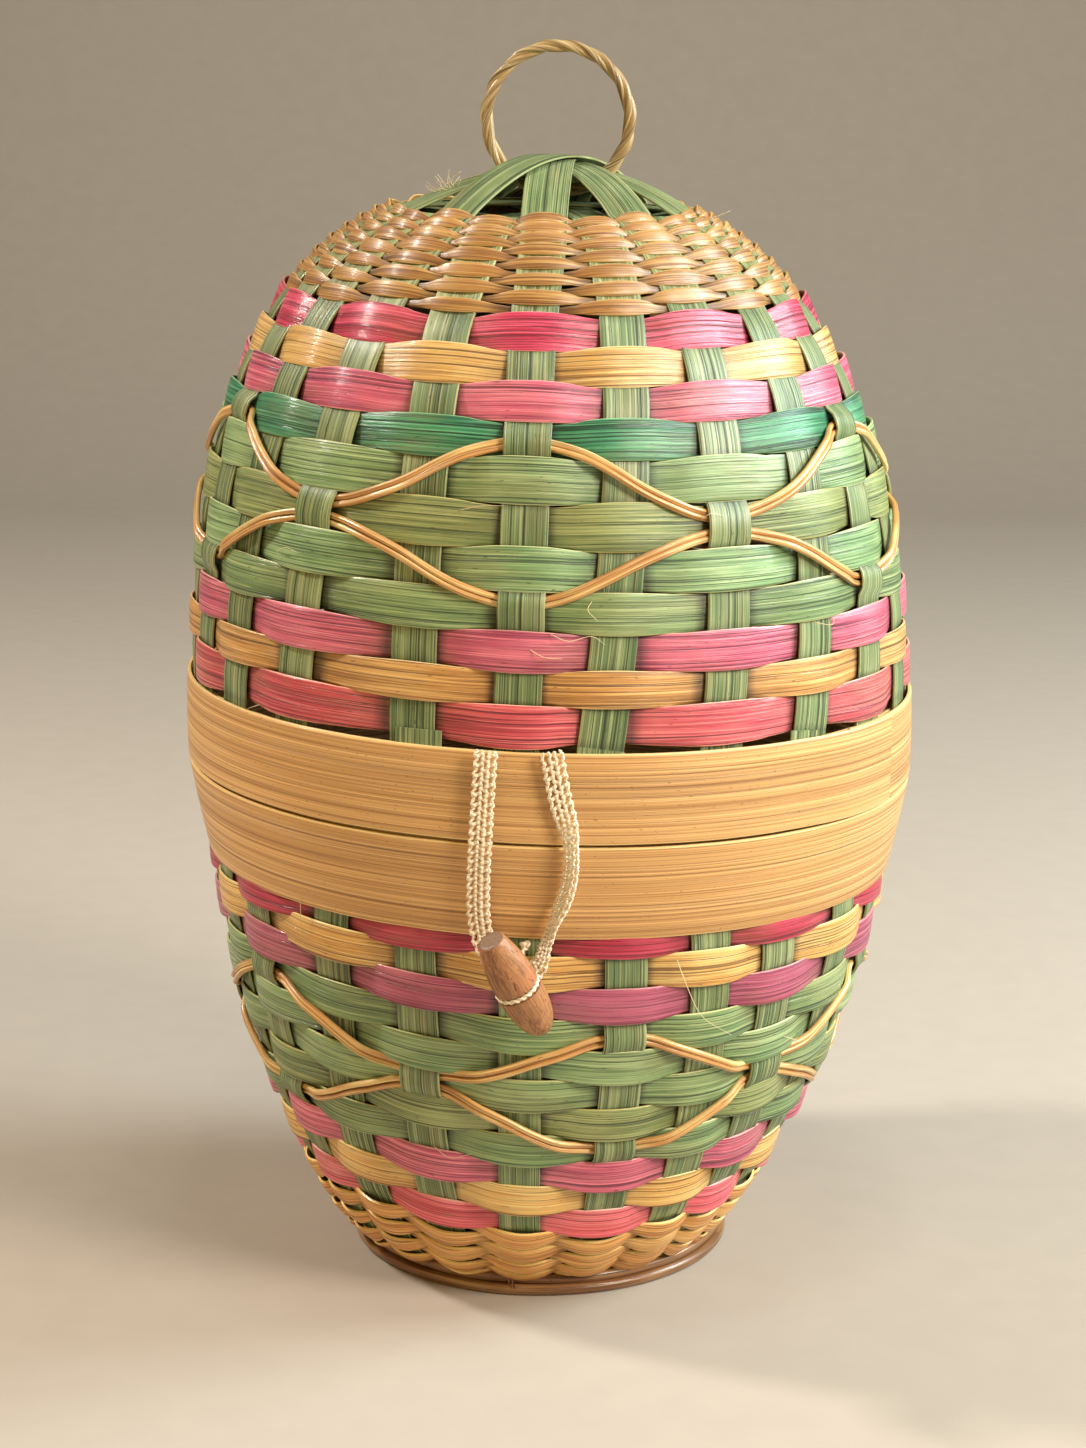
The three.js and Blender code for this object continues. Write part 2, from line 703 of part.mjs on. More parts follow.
function closureLoop() {
  const points = strapRoute.map(([x, z]) => {
    const reach = wallReachAt(z) + strapClearance + strapThickness / 2;
    return new THREE.Vector3(x, -Math.sqrt(reach ** 2 - x ** 2), z);
  });
  const path = new THREE.CatmullRomCurve3(points, false, "centripetal");
  const sections = [];
  for (let i = 0; i <= strapSteps; i++) {
    const at = path.getPointAt(i / strapSteps);
    const along = path.getTangentAt(i / strapSteps);
    const facing = new THREE.Vector3(at.x, at.y, 0).normalize();
    const across = facing.clone().cross(along).normalize();
    const out = along.clone().cross(across).normalize();
    const corners = [[1, 1], [-1, 1], [-1, -1], [1, -1]];
    sections.push(corners.map(([u, v]) => {
      const p = at.clone().addScaledVector(across, (u * strapWidth) / 2);
      return p.addScaledVector(out, (v * strapThickness) / 2);
    }));
  }
  return solidOver(sections, false);
}

// The whole basket.
const basket = new THREE.Group();
basket.add(lidWeave());
basket.add(node("closure_loop", closureLoop(), "cord", 0.9));
basket.add(handleRing());
basket.add(baseWeave());
tieAzimuths.forEach((azimuth, i) => {
  basket.add(node(`hinge_tie_${i + 1}`, tieRing(azimuth, tieCordDiameter / 2), "cord", 0.9));
});
basket.add(node("toggle_cord", toggleCord(), "cord", 0.9));
basket.add(toggleGroup());

export default basket;
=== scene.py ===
import json
import math
import random

import bpy
from mathutils import Matrix, Vector, noise

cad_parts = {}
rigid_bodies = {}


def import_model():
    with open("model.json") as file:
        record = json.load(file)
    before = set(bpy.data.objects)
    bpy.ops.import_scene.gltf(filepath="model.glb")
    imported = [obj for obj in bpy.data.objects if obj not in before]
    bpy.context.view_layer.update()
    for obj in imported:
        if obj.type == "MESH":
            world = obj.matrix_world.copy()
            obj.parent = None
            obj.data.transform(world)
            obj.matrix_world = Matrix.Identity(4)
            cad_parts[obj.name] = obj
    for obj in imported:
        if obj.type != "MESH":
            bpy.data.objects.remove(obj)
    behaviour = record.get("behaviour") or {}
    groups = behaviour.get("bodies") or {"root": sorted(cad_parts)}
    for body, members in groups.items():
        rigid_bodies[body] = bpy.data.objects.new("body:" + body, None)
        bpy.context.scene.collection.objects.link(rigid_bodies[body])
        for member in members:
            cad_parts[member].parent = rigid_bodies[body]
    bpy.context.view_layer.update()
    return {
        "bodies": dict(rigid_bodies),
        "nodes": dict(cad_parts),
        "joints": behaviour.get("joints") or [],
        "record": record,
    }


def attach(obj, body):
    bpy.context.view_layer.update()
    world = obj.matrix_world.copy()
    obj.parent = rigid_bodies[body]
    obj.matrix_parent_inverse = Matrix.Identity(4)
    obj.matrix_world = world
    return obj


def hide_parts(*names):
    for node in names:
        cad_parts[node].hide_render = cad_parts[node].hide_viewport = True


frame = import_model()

slotOf = {part["node"]: part["material_slot"] for part in frame["record"]["subparts"]}

# Camera: a little above the basket's middle, looking slightly down, as the photograph does.
camera = {
    "place": (0.0, -1.0416, 0.4271),
    "pitchDown": math.radians(13.1),
    "roll": math.radians(0.3),
    "lens": 76.5,
    "sensor": 36.0,
}


def addObject(name, data):
    made = bpy.data.objects.new(name, data)
    bpy.context.scene.collection.objects.link(made)
    return made


def placeCamera():
    data = bpy.data.cameras.new("view")
    data.sensor_width = camera["sensor"]
    data.lens = camera["lens"]
    seen = addObject("view", data)
    turn = Matrix.Rotation(math.pi / 2 - camera["pitchDown"], 4, "X")
    lean = Matrix.Rotation(camera["roll"], 4, "Z")
    seen.matrix_world = Matrix.Translation(camera["place"]) @ turn @ lean
    bpy.context.scene.camera = seen


placeCamera()
print("camera placed")

# The egg's two curves: radius at a height, at the middle of the stakes. All sizes in metres.
egg = {
    "bodyRadius": 0.1222,
    "seam": 0.175,
    "seamGap": 0.0008,
    "lidWidest": 0.180,
    "lidRise": 0.190,
    "lidFullness": 2.5,
    "crownRadius": 0.0505,
    "neckRadius": 0.1158,
    "neckHeight": 0.1438,
    "floorRadius": 0.061,
    "floorLevel": 0.0074,
    "baseFullness": 1.5,
}


def lidRadiusAt(z):
    rise = max(0.0, z - egg["lidWidest"]) / egg["lidRise"]
    return egg["bodyRadius"] * (1 - rise ** egg["lidFullness"]) ** (1 / egg["lidFullness"])


def baseRadiusAt(z):
    if z >= egg["neckHeight"]:
        share = (z - egg["neckHeight"]) / (egg["seam"] - egg["neckHeight"])
        return egg["neckRadius"] + share * (egg["bodyRadius"] - egg["neckRadius"])
    depth = min(1.0, (egg["neckHeight"] - z) / (egg["neckHeight"] - egg["floorLevel"]))
    share = (1 - depth ** egg["baseFullness"]) ** (1 / egg["baseFullness"])
    return egg["floorRadius"] + share * (egg["neckRadius"] - egg["floorRadius"])


def smooth(low, high, x):
    share = min(1.0, max(0.0, (x - low) / (high - low)))
    return share * share * (3 - 2 * share)


def mix(a, b, share):
    return a + (b - a) * share


def wander(x, lane):
    return noise.noise(Vector((x, lane * 7.31 + 0.5, 0.37)))


# The weave's rule, shared by every piece of a half.
weave = {
    "stakes": 24,
    "turn": math.radians(-3.75),
    "stakeThickness": 0.0009,
    "tuck": 0.002,
    "heave": 0.0008,
    "heaveAround": 1.4,
    "heaveAlong": 9,
    "heaveFrom": (0.028, 0.06),
    "heaveFade": 0.03,
    "slant": math.tan(math.radians(1.4)),
    "bow": 0.0022,
    "looseTurn": 1.2,
    "crownDrift": math.radians(2.6),
    "saddleTurn": math.radians(15),
    "stepDegrees": 15,
    "endGap": 0.01,
    "wallSamples": 1200,
    "slopeStep": 0.0006,
    "turnReach": (-0.2, 1.1),
    "widestFill": 0.44,
    # Painted shade on the rows: each gives the span of c over which the colour lightens and its darkest
    # share, deep at the dives and soft towards a hump's ends.
    "wideHollow": ((-0.72, -0.45), 0.3),
    "softHollow": ((-0.4, 0.6), 0.88),
}


class Half:
    # One half's wall, measured along its length from the seam, with its handmade stake places.
    def __init__(self, radiusAt, start, end, places, seed):
        self.upright = places["upright"]
        self.bow = (weave["bow"], places["bowEnd"])
        self.drift = places["drift"]
        self.heights = places["heights"]
        self.saddle = places["saddle"]
        self.stakeWidth = places["width"]
        self.path = []
        length = 0.0
        for i in range(weave["wallSamples"] + 1):
            z = mix(start, end, i / weave["wallSamples"])
            here = (radiusAt(z), z)
            if self.path:
                length += math.dist(here, self.path[-1][1:])
            self.path.append((length, *here))
        self.length = length
        rng = random.Random(seed)
        self.turns = []
        for k in range(weave["stakes"]):
            loose = rng.uniform(-1, 1) * weave["looseTurn"]
            low, high = places["turns"].get(k, (loose, loose))
            self.turns.append((math.radians(low), math.radians(high)))
        self.seed = seed

    def radiusHeight(self, s):
        low, high = 0, len(self.path) - 1
        while high - low > 1:
            middle = (low + high) // 2
            if self.path[middle][0] <= s:
                low = middle
            else:
                high = middle
        a, b = self.path[low], self.path[high]
        share = (s - a[0]) / (b[0] - a[0])
        return mix(a[1], b[1], share), mix(a[2], b[2], share)

    def azimuth(self, stake, s):
        low = math.floor(stake)
        share = smooth(0, 1, stake - low)
        count = weave["stakes"]
        lowest, highest = weave["turnReach"]
        rise = min(highest, max(lowest, (s - self.heights[0]) / (self.heights[1] - self.heights[0])))
        one, other = (mix(*self.turns[k % count], rise) for k in (low, low + 1))
        straight = weave["turn"] + stake * 2 * math.pi / count
        drift = self.drift * smooth(self.heights[1], self.length, s) * math.cos(straight)
        return straight + mix(one, other, share) + drift

    # A point of the wall and its outward direction there.
    def at(self, stake, s, out=0.0):
        step = weave["slopeStep"]
        r, z = self.radiusHeight(s)
        r1, z1 = self.radiusHeight(s - step)
        r2, z2 = self.radiusHeight(s + step)
        dr, dz = r2 - r1, z2 - z1
        size = math.hypot(dr, dz)
        nr, nz = abs(dz) / size, -dr / size * (1 if dz > 0 else -1)
        a = self.azimuth(stake, s)
        fade = smooth(*weave["heaveFrom"], s) * smooth(self.length, self.length - weave["heaveFade"], s)
        reach = weave["heaveAround"]
        spot = Vector((math.sin(a) * reach, math.cos(a) * reach, s * weave["heaveAlong"] + self.seed))
        lift = weave["heave"] * fade * noise.noise(spot)
        radial = Vector((math.sin(a), -math.cos(a), 0))
        normal = radial * nr + Vector((0, 0, nz))
        point = radial * r + Vector((0, 0, z + lift)) + normal * out
        share = s / self.length
        point.z -= point.x * weave["slant"] * (1 - self.upright * smooth(0.2, 1.0, share))
        point.x += mix(*self.bow, smooth(0.1, 1.0, share))
        height, start, full, fall, end = self.saddle
        swell = math.sin(a - weave["saddleTurn"]) ** 2
        point.z += height * smooth(start, full, s) * (1 - smooth(fall, end, s)) * swell
        return point, normal

    # The outward direction of a splint that stays straighter than the curved wall behind it.
    def shingled(self, point, normal, share):
        level = Vector((point.x, point.y, 0)).normalized()
        return normal.lerp(level, share).normalized()

    # How much of a stake's half width fills half the space between two stakes.
    def fill(self, s):
        r, _ = self.radiusHeight(s)
        return min(weave["widestFill"], self.stakeWidth / 2 / (r * 2 * math.pi / weave["stakes"]))


# Each stake's turn from its even place, in degrees, low and high on the half.
lidPlaces = {
    "heights": (0.050, 0.155),
    "upright": 0.45,
    "bowEnd": -0.0010,
    "drift": weave["crownDrift"],
    "saddle": (0.0, 0.032, 0.062, 0.15, 0.188),
    "width": 0.0149,
    "turns": {
        18: (-1.2, -0.8), 19: (-3.0, -1.8), 20: (-5.4, -3.2), 21: (-7.6, -4.6), 22: (-7.6, -3.0),
        23: (-1.6, -0.9), 0: (-0.8, 1.4), 1: (-2.6, 4.3), 2: (0.7, 5.8), 3: (2.6, 9.4), 4: (3.0, 10.0),
        5: (2.6, 7.4), 6: (1.8, 5.0), 7: (1.0, 2.6), 8: (0.4, 1.0),
    },
}
basePlaces = {
    "heights": (0.042, 0.153),
    "upright": 0.9,
    "bowEnd": -0.0026,
    "drift": 0.0,
    "saddle": (0.0065, 0.032, 0.062, 0.15, 0.188),
    "width": 0.0138,
    "turns": {
        18: (-1.6, -1.6), 19: (-3.4, -3.8), 20: (-5.8, -6.0), 21: (-7.6, -8.0), 22: (-3.5, -6.4),
        23: (-2.7, -3.0), 0: (-0.6, 0.5), 1: (1.2, 4.2), 2: (0.6, 6.2), 3: (-0.8, 5.6), 4: (1.4, 5.6),
        5: (1.2, 4.0), 6: (0.8, 2.6), 7: (0.4, 1.4),
    },
}
lidTop = egg["lidWidest"] + egg["lidRise"] * (
    1 - (egg["crownRadius"] / egg["bodyRadius"]) ** egg["lidFullness"]
) ** (1 / egg["lidFullness"])
lid = Half(lidRadiusAt, egg["seam"] + egg["seamGap"] / 2, lidTop, lidPlaces, 11)
base = Half(baseRadiusAt, egg["seam"] - egg["seamGap"] / 2, egg["floorLevel"], basePlaces, 23)
print("walls measured:", round(lid.length, 4), round(base.length, 4))


# Sections, as (across, lift) from -1 to 1.
def splintSection(top, bottom):
    edge = 0.965
    points = [(-1, -0.55), (-1, 0.55)]
    points += [(-edge + 2 * edge * i / (top - 1), 1) for i in range(top)]
    points += [(1, 0.55), (1, -0.55)]
    points += [(edge - 2 * edge * i / (bottom - 1), -1) for i in range(bottom)]
    return points


def roundSection(count, lobes=0, waist=0.0):
    points = []
    for i in range(count):
        a = 2 * math.pi * i / count
        reach = 1 - waist * math.sin(lobes * a / 2) ** 2
        points.append((-math.cos(a) * reach, math.sin(a) * reach))
    return points


def caneSection(top, bottom, fullness):
    points = []
    for i in range(top):
        a = math.pi * i / (top - 1)
        points.append((-math.cos(a), -0.6 + 1.6 * math.sin(a) ** fullness))
    points += [(0.8 - 1.6 * i / (bottom - 1), -1) for i in range(bottom)]
    return points


def addLayer(mesh, label, values):
    mesh.attributes.new(label, "FLOAT", "POINT").data.foreach_set("value", values)


def sectionObject(name, points):
    mesh = bpy.data.meshes.new(name)
    count = len(points)
    mesh.from_pydata([(u, v, 0) for u, v in points], [(i, (i + 1) % count) for i in range(count)], [])
    addLayer(mesh, "across", [u for u, v in points])
    addLayer(mesh, "lift", [v for u, v in points])
    return addObject(name, mesh)


sections = {
    "splint": sectionObject("section_splint", splintSection(15, 7)),
    "band": sectionObject("section_band", splintSection(33, 9)),
    "cane": sectionObject("section_cane", caneSection(9, 4, 0.75)),
    "peel": sectionObject("section_peel", caneSection(11, 4, 0.3)),
    "rod": sectionObject("section_rod", roundSection(12)),
    "ply": sectionObject("section_ply", roundSection(10, 2, 0.34)),
    "hair": sectionObject("section_hair", roundSection(4)),
}


# One value for all points, or a list with one for each.
def pick(value, i):
    return value[i] if isinstance(value, list) else value


# Guide lines for the sweep: every point knows its facing, its width and how far along it is.
class Guides:
    def __init__(self):
        self.points, self.edges = [], []
        self.columns = {"spine": [], "side": [], "facing": []}
        self.values = {"wide": [], "thick": [], "along": [], "strand": [], "shade": []}

    def add(self, points, outs, wides, thick, strand, twist=0.0, shades=1.0):
        first = len(self.points)
        along = strand * 0.173
        for i, p in enumerate(points):
            before, after = points[max(0, i - 1)], points[min(len(points) - 1, i + 1)]
            tangent = (after - before).normalized()
            facing = (outs[i] - tangent * outs[i].dot(tangent)).normalized()
            if i:
                along += (p - points[i - 1]).length
                self.edges.append((first + i - 1, first + i))
            if twist:
                facing = Matrix.Rotation(twist * along, 3, tangent) @ facing
            self.points.append(p)
            for column, vector in zip(self.columns.values(), (p, tangent.cross(facing), facing)):
                column.append(vector)
            row = (pick(wides, i), pick(thick, i), along, strand, pick(shades, i))
            for column, value in zip(self.values.values(), row):
                column.append(value)

    # A line from a rule that gives the point and the outward direction at each step.
    def trace(self, steps, rule, *values):
        points, outs = zip(*map(rule, steps))
        self.add(points, outs, *values)

    # A line of samples that also hold their own width and painted shade.
    def addSamples(self, samples, thick, strand):
        points, outs, wides, shades = map(list, zip(*samples))
        self.add(points, outs, wides, thick, strand, 0.0, shades)

    def mesh(self, name):
        mesh = bpy.data.meshes.new(name)
        mesh.from_pydata(self.points, self.edges, [])
        for label, column in self.columns.items():
            layer = mesh.attributes.new(label, "FLOAT_VECTOR", "POINT")
            layer.data.foreach_set("vector", [x for v in column for x in v])
        for label, column in self.values.items():
            addLayer(mesh, label, column)
        return mesh


# Small helpers for building node trees; an input is given a link or a plain value.
def give(node, **inputs):
    for key, value in inputs.items():
        isNumber = key.startswith("in") and key[2:].isdigit()
        socket = node.inputs[int(key[2:]) if isNumber else key.replace("_", " ")]
        if isinstance(value, bpy.types.NodeSocket):
            node.id_data.links.new(value, socket)
        else:
            socket.default_value = value


def addNode(tree, kind, settings=None, **inputs):
    made = tree.nodes.new(kind)
    for key, value in (settings or {}).items():
        setattr(made, key, value)
    give(made, **inputs)
    return made


def mathNode(tree, operation, a, b=0.0):
    return addNode(tree, "ShaderNodeMath", {"operation": operation}, in0=a, in1=b).outputs[0]


def vectorNode(tree, operation, a, b=(0, 0, 0)):
    return addNode(tree, "ShaderNodeVectorMath", {"operation": operation}, in0=a, in1=b).outputs[0]


def noiseNode(tree, place, detail, roughness=0.5):
    made = addNode(tree, "ShaderNodeTexNoise", Vector=place, Scale=1.0, Detail=detail, Roughness=roughness)
    return made.outputs[0]


def readAttribute(tree, name, output="Fac"):
    return addNode(tree, "ShaderNodeAttribute", {"attribute_name": name}).outputs[output]


# The sweep: a section drawn along each guide, with the fibres' relief and uneven edges of split wood.
def sweepTree():
    tree = bpy.data.node_groups.new("splintSweep", "GeometryNodeTree")
    numbers = ("Relief", "Relief Along", "Relief Across", "Edge Wander", "Cup", "Seed")
    sockets = [("Geometry", "Geometry"), ("Section", "Object")]
    sockets += [(label, "Float") for label in numbers] + [("Material", "Material")]
    for label, kind in sockets:
        tree.interface.new_socket(label, in_out="INPUT", socket_type="NodeSocket" + kind)
    tree.interface.new_socket("Geometry", in_out="OUTPUT", socket_type="NodeSocketGeometry")
    given = addNode(tree, "NodeGroupInput").outputs
    result = addNode(tree, "NodeGroupOutput")

    def named(label, kind="FLOAT"):
        return addNode(tree, "GeometryNodeInputNamedAttribute", {"data_type": kind}, Name=label).outputs[0]

    def times(a, b):
        return mathNode(tree, "MULTIPLY", a, b)

    def plus(a, b):
        return mathNode(tree, "ADD", a, b)

    def joined(x, y, z):
        return addNode(tree, "ShaderNodeCombineXYZ", X=x, Y=y, Z=z).outputs[0]

    def scaled(label, scale):
        settings = {"operation": "SCALE"}
        vector = named(label, "FLOAT_VECTOR")
        return addNode(tree, "ShaderNodeVectorMath", settings, in0=vector, Scale=scale).outputs[0]

    # Noise of either sign, as large as the given size at most.
    def unevenness(x, y, z, size):
        return times(mathNode(tree, "SUBTRACT", noiseNode(tree, joined(x, y, z), 2.0), 0.5), size)

    def store(geometry, label, kind, value):
        settings = {"data_type": kind, "domain": "POINT"}
        made = addNode(
            tree, "GeometryNodeStoreNamedAttribute", settings, Geometry=geometry, Name=label, Value=value
        )
        return made.outputs[0]

    guide = addNode(tree, "GeometryNodeMeshToCurve", Mesh=given["Geometry"]).outputs[0]
    section = addNode(tree, "GeometryNodeObjectInfo", Object=given["Section"]).outputs["Geometry"]
    outline = addNode(tree, "GeometryNodeMeshToCurve", Mesh=section).outputs[0]
    swept = addNode(tree, "GeometryNodeCurveToMesh", in0=guide, in1=outline, Fill_Caps=True).outputs[0]

    across, lift, along = named("across"), named("lift"), named("along")
    seed = plus(times(named("strand"), 3.7), given["Seed"])
    uneven = unevenness(times(along, 55.0), seed, across, given["Edge Wander"])
    reach = times(plus(times(named("wide"), 0.5), uneven), across)
    layer = plus(seed, times(lift, 2.0))
    grainX, grainY = times(along, given["Relief Along"]), times(reach, given["Relief Across"])
    relief = unevenness(grainX, grainY, layer, given["Relief"])
    relief = times(relief, mathNode(tree, "SIGN", lift))
    body = times(times(named("thick"), 0.5), lift)
    bow = times(mathNode(tree, "SUBTRACT", 1.0, times(across, across)), given["Cup"])
    height = plus(plus(body, relief), bow)

    place = vectorNode(tree, "ADD", named("spine", "FLOAT_VECTOR"), scaled("side", reach))
    place = vectorNode(tree, "ADD", place, scaled("facing", height))
    stored = store(swept, "grain", "FLOAT_VECTOR", joined(along, reach, seed))
    stored = store(stored, "rim", "FLOAT", mathNode(tree, "ABSOLUTE", across))
    placed = addNode(tree, "GeometryNodeSetPosition", Geometry=stored, Position=place).outputs[0]
    whole = addNode(tree, "GeometryNodeRealizeInstances", Geometry=placed).outputs[0]
    painted = addNode(tree, "GeometryNodeSetMaterial", Geometry=whole, Material=given["Material"]).outputs[0]
    tree.links.new(painted, result.inputs[0])
    return tree


splintSweep = sweepTree()
guideAttributes = ("spine", "side", "facing", "wide", "thick", "along", "strand", "across", "lift")


def setInputs(modifier, tree, values):
    for item in tree.interface.items_tree:
        if item.item_type == "SOCKET" and item.in_out == "INPUT" and item.name in values:
            modifier[item.identifier] = values[item.name]


def facesOut(mesh):
    mesh.calc_loop_triangles()
    volume = 0.0
    for triangle in mesh.loop_triangles:
        a, b, c = (mesh.vertices[i].co for i in triangle.vertices)
        volume += a.dot(b.cross(c))
    if volume < 0:
        mesh.flip_normals()


def bodyOf(node):
    return node.split("_")[0]


# A finished piece: on its body, in place of its CAD node, which is hidden.
def settle(piece, node, body):
    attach(piece, body)
    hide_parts(node)


def sweep(name, guides, section, material, look):
    carrier = addObject(name, guides.mesh(name))
    modifier = carrier.modifiers.new("sweep", "NODES")
    modifier.node_group = splintSweep
    setInputs(modifier, splintSweep, {
        "Section": sections[section],
        "Relief": look.get("relief", 0.0),
        "Relief Along": look.get("reliefAlong", 30.0),
        "Relief Across": look.get("reliefAcross", 450.0),
        "Edge Wander": look.get("edgeWander", 0.0),
        "Cup": look.get("cup", 0.0),
        "Seed": float(sum(map(ord, name)) % 97),
        "Material": material,
    })
    view = bpy.context.evaluated_depsgraph_get()
    mesh = bpy.data.meshes.new_from_object(carrier.evaluated_get(view))
    carrier.modifiers.clear()
    guideMesh = carrier.data
    carrier.data = mesh
    mesh.name = name
    bpy.data.meshes.remove(guideMesh)
    for label in guideAttributes:
        layer = mesh.attributes.get(label)
        if layer:
            mesh.attributes.remove(layer)
    facesOut(mesh)
    mesh.shade_smooth()
    mesh.set_sharp_from_angle(angle=math.radians(look.get("sharp", 48)))
    return carrier


# Finishes. A fibre finish has streaks along the grain, a paler cut edge, painted shade where it dives under
# other splints and a satin skin.
def newMaterial(name):
    material = bpy.data.materials.new(name)
    material.use_nodes = True
    tree = material.node_tree
    tree.nodes.clear()
    shader = addNode(tree, "ShaderNodeBsdfPrincipled")
    addNode(tree, "ShaderNodeOutputMaterial", Surface=shader.outputs[0])
    return material, tree, shader


def srgb(*parts):
    linear = [(c / 255 / 12.92) if c <= 10 else ((c / 255 + 0.055) / 1.055) ** 2.4 for c in parts]
    return (*linear, 1.0)


def mixColour(tree, share, a, b):
    return addNode(tree, "ShaderNodeMix", {"data_type": "RGBA"}, in0=share, in6=a, in7=b).outputs[2]


def ramp(tree, value, low, high, start=0.0, end=1.0):
    made = addNode(
        tree, "ShaderNodeMapRange", {"interpolation_type": "SMOOTHSTEP"},
        Value=value, From_Min=low, From_Max=high, To_Min=start, To_Max=end,
    )
    return made.outputs[0]


def grainNoise(tree, place, sizes, detail, roughness=0.6):
    return noiseNode(tree, vectorNode(tree, "MULTIPLY", place, sizes), detail, roughness)


def streak(tree, grain, along, across, detail=3.0, roughness=0.6):
    return grainNoise(tree, grain, (along, across, 1.0), detail, roughness)


# A finish's relief: fine unevenness that only bends the light.
def bumped(tree, strength, distance, height):
    return addNode(tree, "ShaderNodeBump", Strength=strength, Distance=distance, Height=height).outputs[0]


# Streak sizes are features per metre along and across the grain; shares are how much each one shows.
fibre = {
    "fine": (16.0, 1600.0),
    "broad": (8.0, 620.0),
    "line": (6.0, 1500.0),
    "cloud": (30.0, 70.0),
    "stain": (22.0, 60.0),
    "fleck": (260.0, 1300.0),
    "fineShare": 0.8,
    "broadShare": 0.6,
    "lineShare": 0.85,
    "cloudShare": 0.4,
    "stainShare": 0.6,
    "fleckShare": 0.6,
    "rimFrom": 0.955,
    "rimShare": 0.85,
    "lineLevel": (0.405, 0.355),
    "rough": 0.38,
    "bump": 1.0,
    "bumpDepth": 0.00022,
    "coat": 0.4,
    "coatRough": 0.16,
    # The near-black tone of the painted shade where splints dive under each other.
    "hollow": (0.012, 0.010, 0.006, 1.0),
    # A paler, yellower band on the stakes just below the apex: its heights and its share.
    "paleBandFrom": (0.334, 0.340),
    "paleBandTo": (0.361, 0.355),
    "paleBandShare": 0.55,
}


def darker(tone, share):
    return tuple(share * c for c in tone[:3]) + (1.0,)


def stained(tone):
    return tuple(mix(a, b, 0.6) for a, b in zip(tone, srgb(140, 118, 78)))


def fibreFinish(name, base, deep, light, edge, **changes):
    look = {**fibre, **changes}
    base, deep, light, edge = (srgb(*tone) for tone in (base, deep, light, edge))
    material, tree, shader = newMaterial(name)
    grain = readAttribute(tree, "grain", "Vector")
    fine = streak(tree, grain, *look["fine"], 4.0, 0.7)
    broad = streak(tree, grain, *look["broad"])
    line = streak(tree, grain, *look["line"], 1.0, 0.5)
    cloud = streak(tree, grain, *look["cloud"], 2.0)
    stain = streak(tree, grain, *look["stain"], 3.0)
    fleck = streak(tree, grain, *look["fleck"], 1.0)
    groove = ramp(tree, line, *look["lineLevel"])
    rim = readAttribute(tree, "rim")
    rimFull = mix(look["rimFrom"], 1.0, 0.7)

    colour = base
    for value, low, high, share, tone in (
        (broad, 0.52, 0.36, "broadShare", deep),
        (stain, 0.48, 0.66, "stainShare", stained(base)),
        (cloud, 0.44, 0.66, "cloudShare", light),
        (fine, 0.52, 0.62, "fineShare", light),
        (fine, 0.48, 0.38, "fineShare", deep),
        (groove, None, None, "lineShare", darker(deep, 0.5)),
        (fleck, 0.30, 0.22, "fleckShare", darker(deep, 0.3)),
        (rim, look["rimFrom"], rimFull, "rimShare", edge),
    ):
        if low is None:
            amount = mathNode(tree, "MULTIPLY", value, look[share])
        else:
            amount = ramp(tree, value, low, high, 0.0, look[share])
        colour = mixColour(tree, amount, colour, tone)
    # Stakes turn paler and yellower in a band of heights just below the apex.
    if "paleBand" in look:
        place = addNode(tree, "ShaderNodeTexCoord").outputs["Object"]
        height = addNode(tree, "ShaderNodeSeparateXYZ", Vector=place).outputs[2]
        above, below = ramp(tree, height, *look["paleBandFrom"]), ramp(tree, height, *look["paleBandTo"])
        paleBand = mathNode(tree, "MULTIPLY", above, below)
        pale = srgb(*look["paleBand"])
        tone = mixColour(tree, ramp(tree, fine, 0.44, 0.56), darker(pale, 0.5), pale)
        colour = mixColour(tree, mathNode(tree, "MULTIPLY", paleBand, look["paleBandShare"]), colour, tone)
    # Painted shade: the colour goes towards the near-black tone where the shade attribute falls below 1.
    paintedShadeAmount = mathNode(tree, "SUBTRACT", 1.0, readAttribute(tree, "shade"))
    colour = mixColour(tree, paintedShadeAmount, colour, look["hollow"])
    rough = ramp(tree, fine, 0.3, 0.7, look["rough"] + 0.14, look["rough"] - 0.06)
    height = mathNode(tree, "SUBTRACT", fine, mathNode(tree, "MULTIPLY", groove, 0.9))
    raised = bumped(tree, look["bump"], look["bumpDepth"], height)
    give(shader, Base_Color=colour, Roughness=rough, Normal=raised, Coat_Normal=raised)
    give(shader, Coat_Weight=look["coat"], Coat_Roughness=look["coatRough"])
    return material


stakeLook = {
    "fine": (8.0, 1700.0), "broad": (3.0, 700.0), "line": (3.0, 1300.0), "stain": (18.0, 130.0),
    "broadShare": 0.7, "lineShare": 0.8, "rimShare": 0.4, "rough": 0.42, "coat": 0.2,
    # The pale tone of the band just below the apex.
    "paleBand": (178, 178, 120),
}
bandLook = {
    "fine": (3.0, 1200.0), "broad": (1.6, 500.0), "line": (2.0, 2300.0), "cloud": (7.0, 60.0),
    "stain": (5.0, 50.0), "fleck": (700.0, 1500.0), "fleckShare": 0.7, "broadShare": 0.16, "fineShare": 0.9,
    "cloudShare": 0.2, "stainShare": 0.2, "lineShare": 0.18, "rough": 0.42, "coat": 0.14,
}
reedLook = {
    "fine": (14.0, 1800.0), "lineShare": 0.3, "cloudShare": 0.6, "stainShare": 0.3, "rough": 0.34,
    "bump": 0.4,
}
caneLook = {
    "fine": (16.0, 1700.0), "line": (5.0, 1300.0), "lineShare": 0.4, "stainShare": 0.25, "bump": 0.5,
    "rimFrom": 0.84, "rough": 0.4, "coat": 0.22,
}

